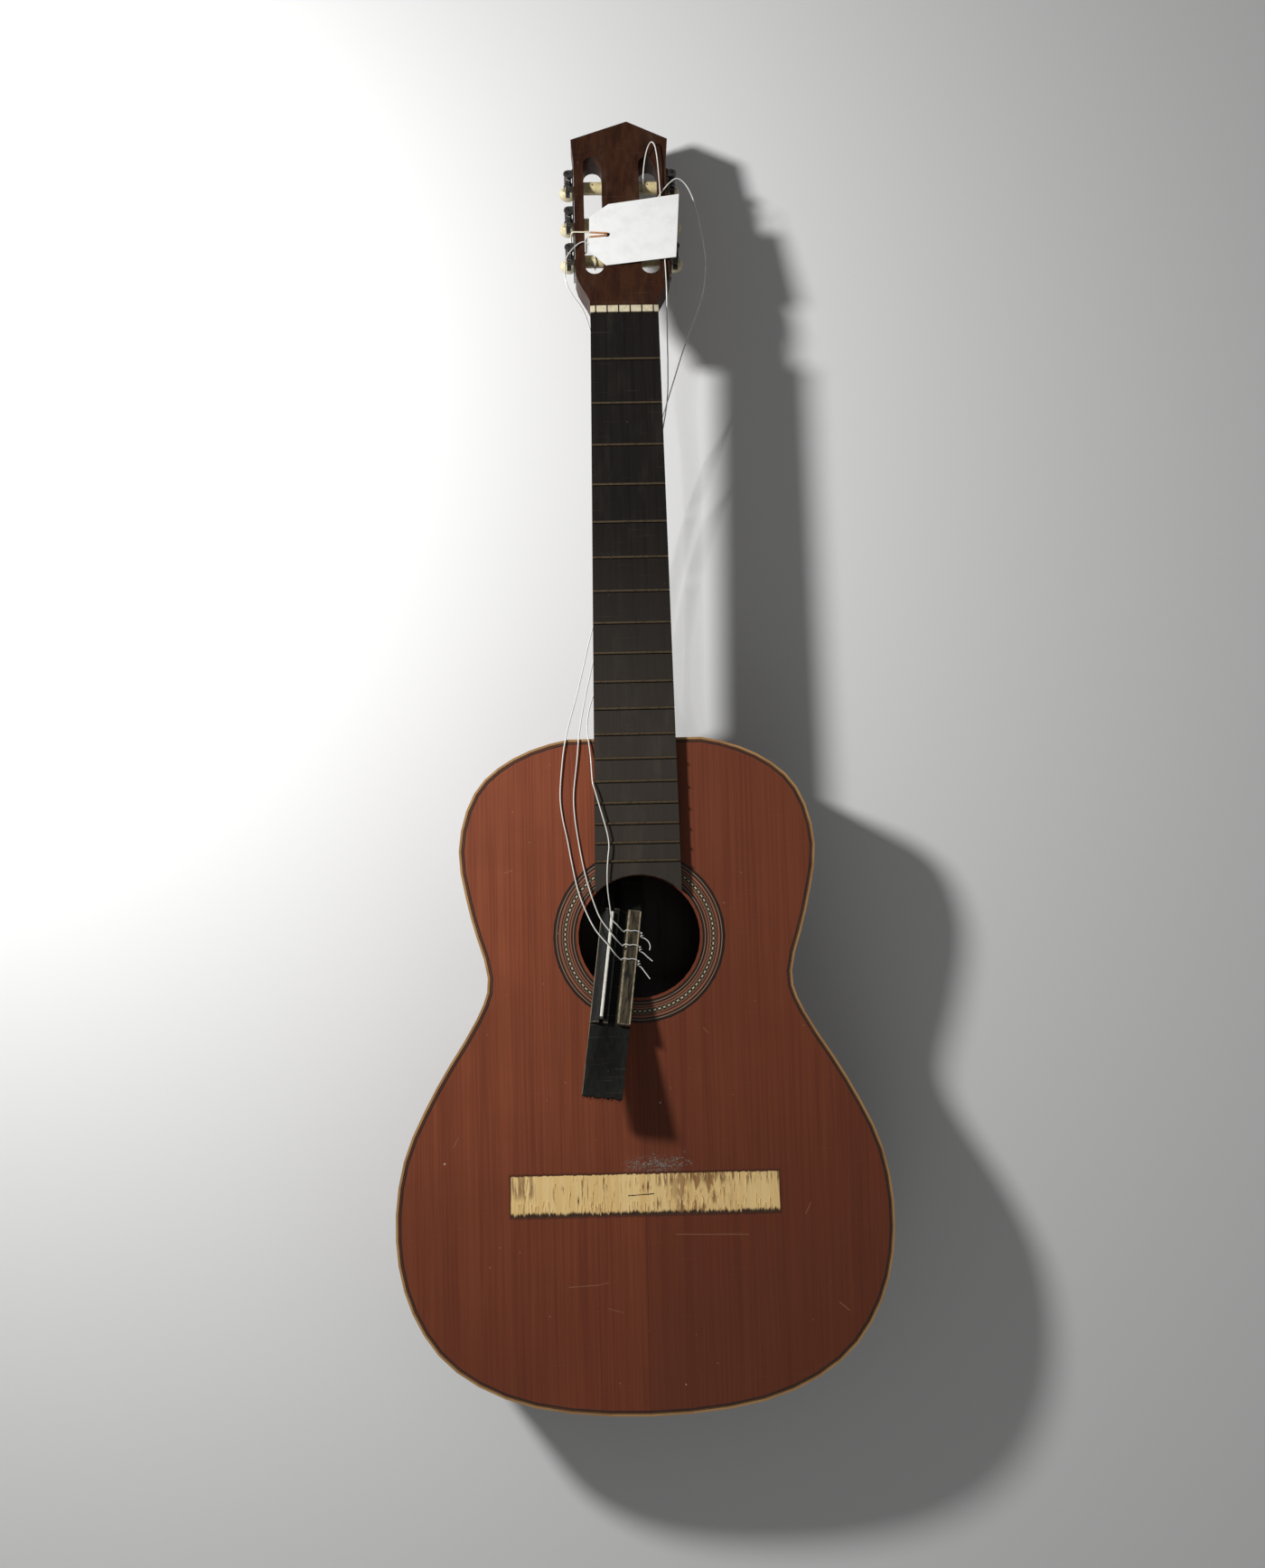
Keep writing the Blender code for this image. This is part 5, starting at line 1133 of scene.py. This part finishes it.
# %% Strips along the tie block
STRIP_THICK = 0.0003
STRIP_HEIGHT = 0.00905
STRIP_BEVEL = 0.00007
strips = bmesh.new()
for low_y, high_y, start, end in ((-0.0149, -0.0139, -0.0437, 0.0436), (-0.0068, -0.0053, -0.0434, 0.0120),
                                  (-0.0068, -0.0053, 0.0142, 0.0437)):
    bar = bmesh.ops.create_cube(strips, size=1.0)["verts"]
    spot = Matrix.Translation(((start + end) / 2, (low_y + high_y) / 2, STRIP_HEIGHT))
    size = Matrix.Diagonal((end - start, high_y - low_y, STRIP_THICK, 1))
    bmesh.ops.transform(strips, matrix=BRIDGE @ spot @ size, verts=bar)
bmesh.ops.bevel(strips, geom=list(strips.edges), offset=STRIP_BEVEL, offset_type="OFFSET", segments=2,
                profile=0.5, affect="EDGES", material=-1)
long_edges = [e for e in strips.edges if e.calc_length() > 0.02]
bmesh.ops.subdivide_edges(strips, edges=long_edges, cuts=24)
for v in strips.verts:
    v.co += Vector((chance.uniform(-1, 1), chance.uniform(-1, 1), 0)) * STRIP_BEVEL
finish_piece("tie_block_strips", strips, strip_bone, "guitar", 40)
print("strips on")

# %% [markdown]
# ## Fibres at the broken end
# The wing tore along its grain, so fibres stand out of its end. Thin cones are turned along the wing,
# shaken by chance and half sunk in the end, like the slivers on the top.

# %% Fibres at the broken end
END_FIBRES = 60
FIBRE_HALF_SPREAD = 0.0142
ends = bmesh.new()
for k in range(END_FIBRES):
    length = chance.uniform(0.0016, 0.0042)
    grown = bmesh.ops.create_cone(ends, cap_ends=True, segments=5, radius1=chance.uniform(0.00016, 0.0004),
                                  radius2=0.00005, depth=length)["verts"]
    turned = Matrix.Rotation(-math.pi / 2 + chance.uniform(-0.12, 0.12), 4, "Y")
    yaw = Matrix.Rotation(chance.uniform(-0.15, 0.15), 4, "Z")
    sideways = chance.uniform(-FIBRE_HALF_SPREAD, FIBRE_HALF_SPREAD)
    height = chance.uniform(0.0006, WING_THICK - 0.0020)
    spot = Matrix.Translation((-WING_END + 0.0012 - length * 0.3, sideways, height))
    bmesh.ops.transform(ends, matrix=BRIDGE @ spot @ yaw @ turned, verts=grown)
finish_piece("wing_fibres", ends, bridge_wood, "guitar")
print("fibres at the wing's end")

# %% [markdown]
# ## Knots
# Each string that is left goes over the block, twists round itself behind it and ends in a short
# tail. A knot is a cord like the strings, so it is laid the same way, along points in the bridge's
# own frame.

# %% Knots round the tie block
KNOT_DIAMETER = 0.0008
KNOT_STEPS = 4
KNOT_ROUNDNESS = 2
TWIST_POINTS = 9
TWIST_STEP = 0.00035


def knot(number, x, tail):
    """A string's end: over the block, round itself behind it, and a short tail."""
    points = [Vector((x - 0.0004, -0.0036, 0.0062)), Vector((x, -0.0044, 0.0086)),
              Vector((x + 0.0003, -0.0060, 0.0097)), Vector((x - 0.0003, -0.0085, 0.0098)),
              Vector((x + 0.0004, -0.0115, 0.0099)), Vector((x, -0.0145, 0.0098)),
              Vector((x - 0.0003, -0.0158, 0.0090))]
    for k in range(TWIST_POINTS):
        angle = math.pi / 2 - k * math.pi / 3
        points.append(Vector((x - 0.0006 - TWIST_STEP * k, -0.0170 + 0.0009 * math.cos(angle),
                              0.0079 + 0.0010 * math.sin(angle))))
    points += [Vector(p) + Vector((x, 0, 0)) for p in tail]
    line = smooth_line([BRIDGE @ p for p in points], KNOT_STEPS)
    piece = round_cord("knot_%d" % number, line, KNOT_DIAMETER, KNOT_ROUNDNESS)
    piece.data.materials.append(knot_nylon)
    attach(piece, "guitar")


knot(1, 0.0275, ((-0.0040, -0.0190, 0.0075), (-0.0062, -0.0222, 0.0080), (-0.0098, -0.0240, 0.0082),
                 (-0.0130, -0.0238, 0.0080)))
knot(2, 0.0165, ((-0.0042, -0.0190, 0.0072), (-0.0070, -0.0225, 0.0076), (-0.0102, -0.0268, 0.0080)))
knot(3, 0.0055, ((-0.0045, -0.0188, 0.0070), (-0.0080, -0.0220, 0.0072), (-0.0128, -0.0262, 0.0074)))
print("knots tied")

# %% [markdown]
# ## Update the scene
# The view layer is brought up to date. The dressed guitar has to fill the box of its solids
# and no more.

# %% Update the scene
bpy.context.view_layer.update()
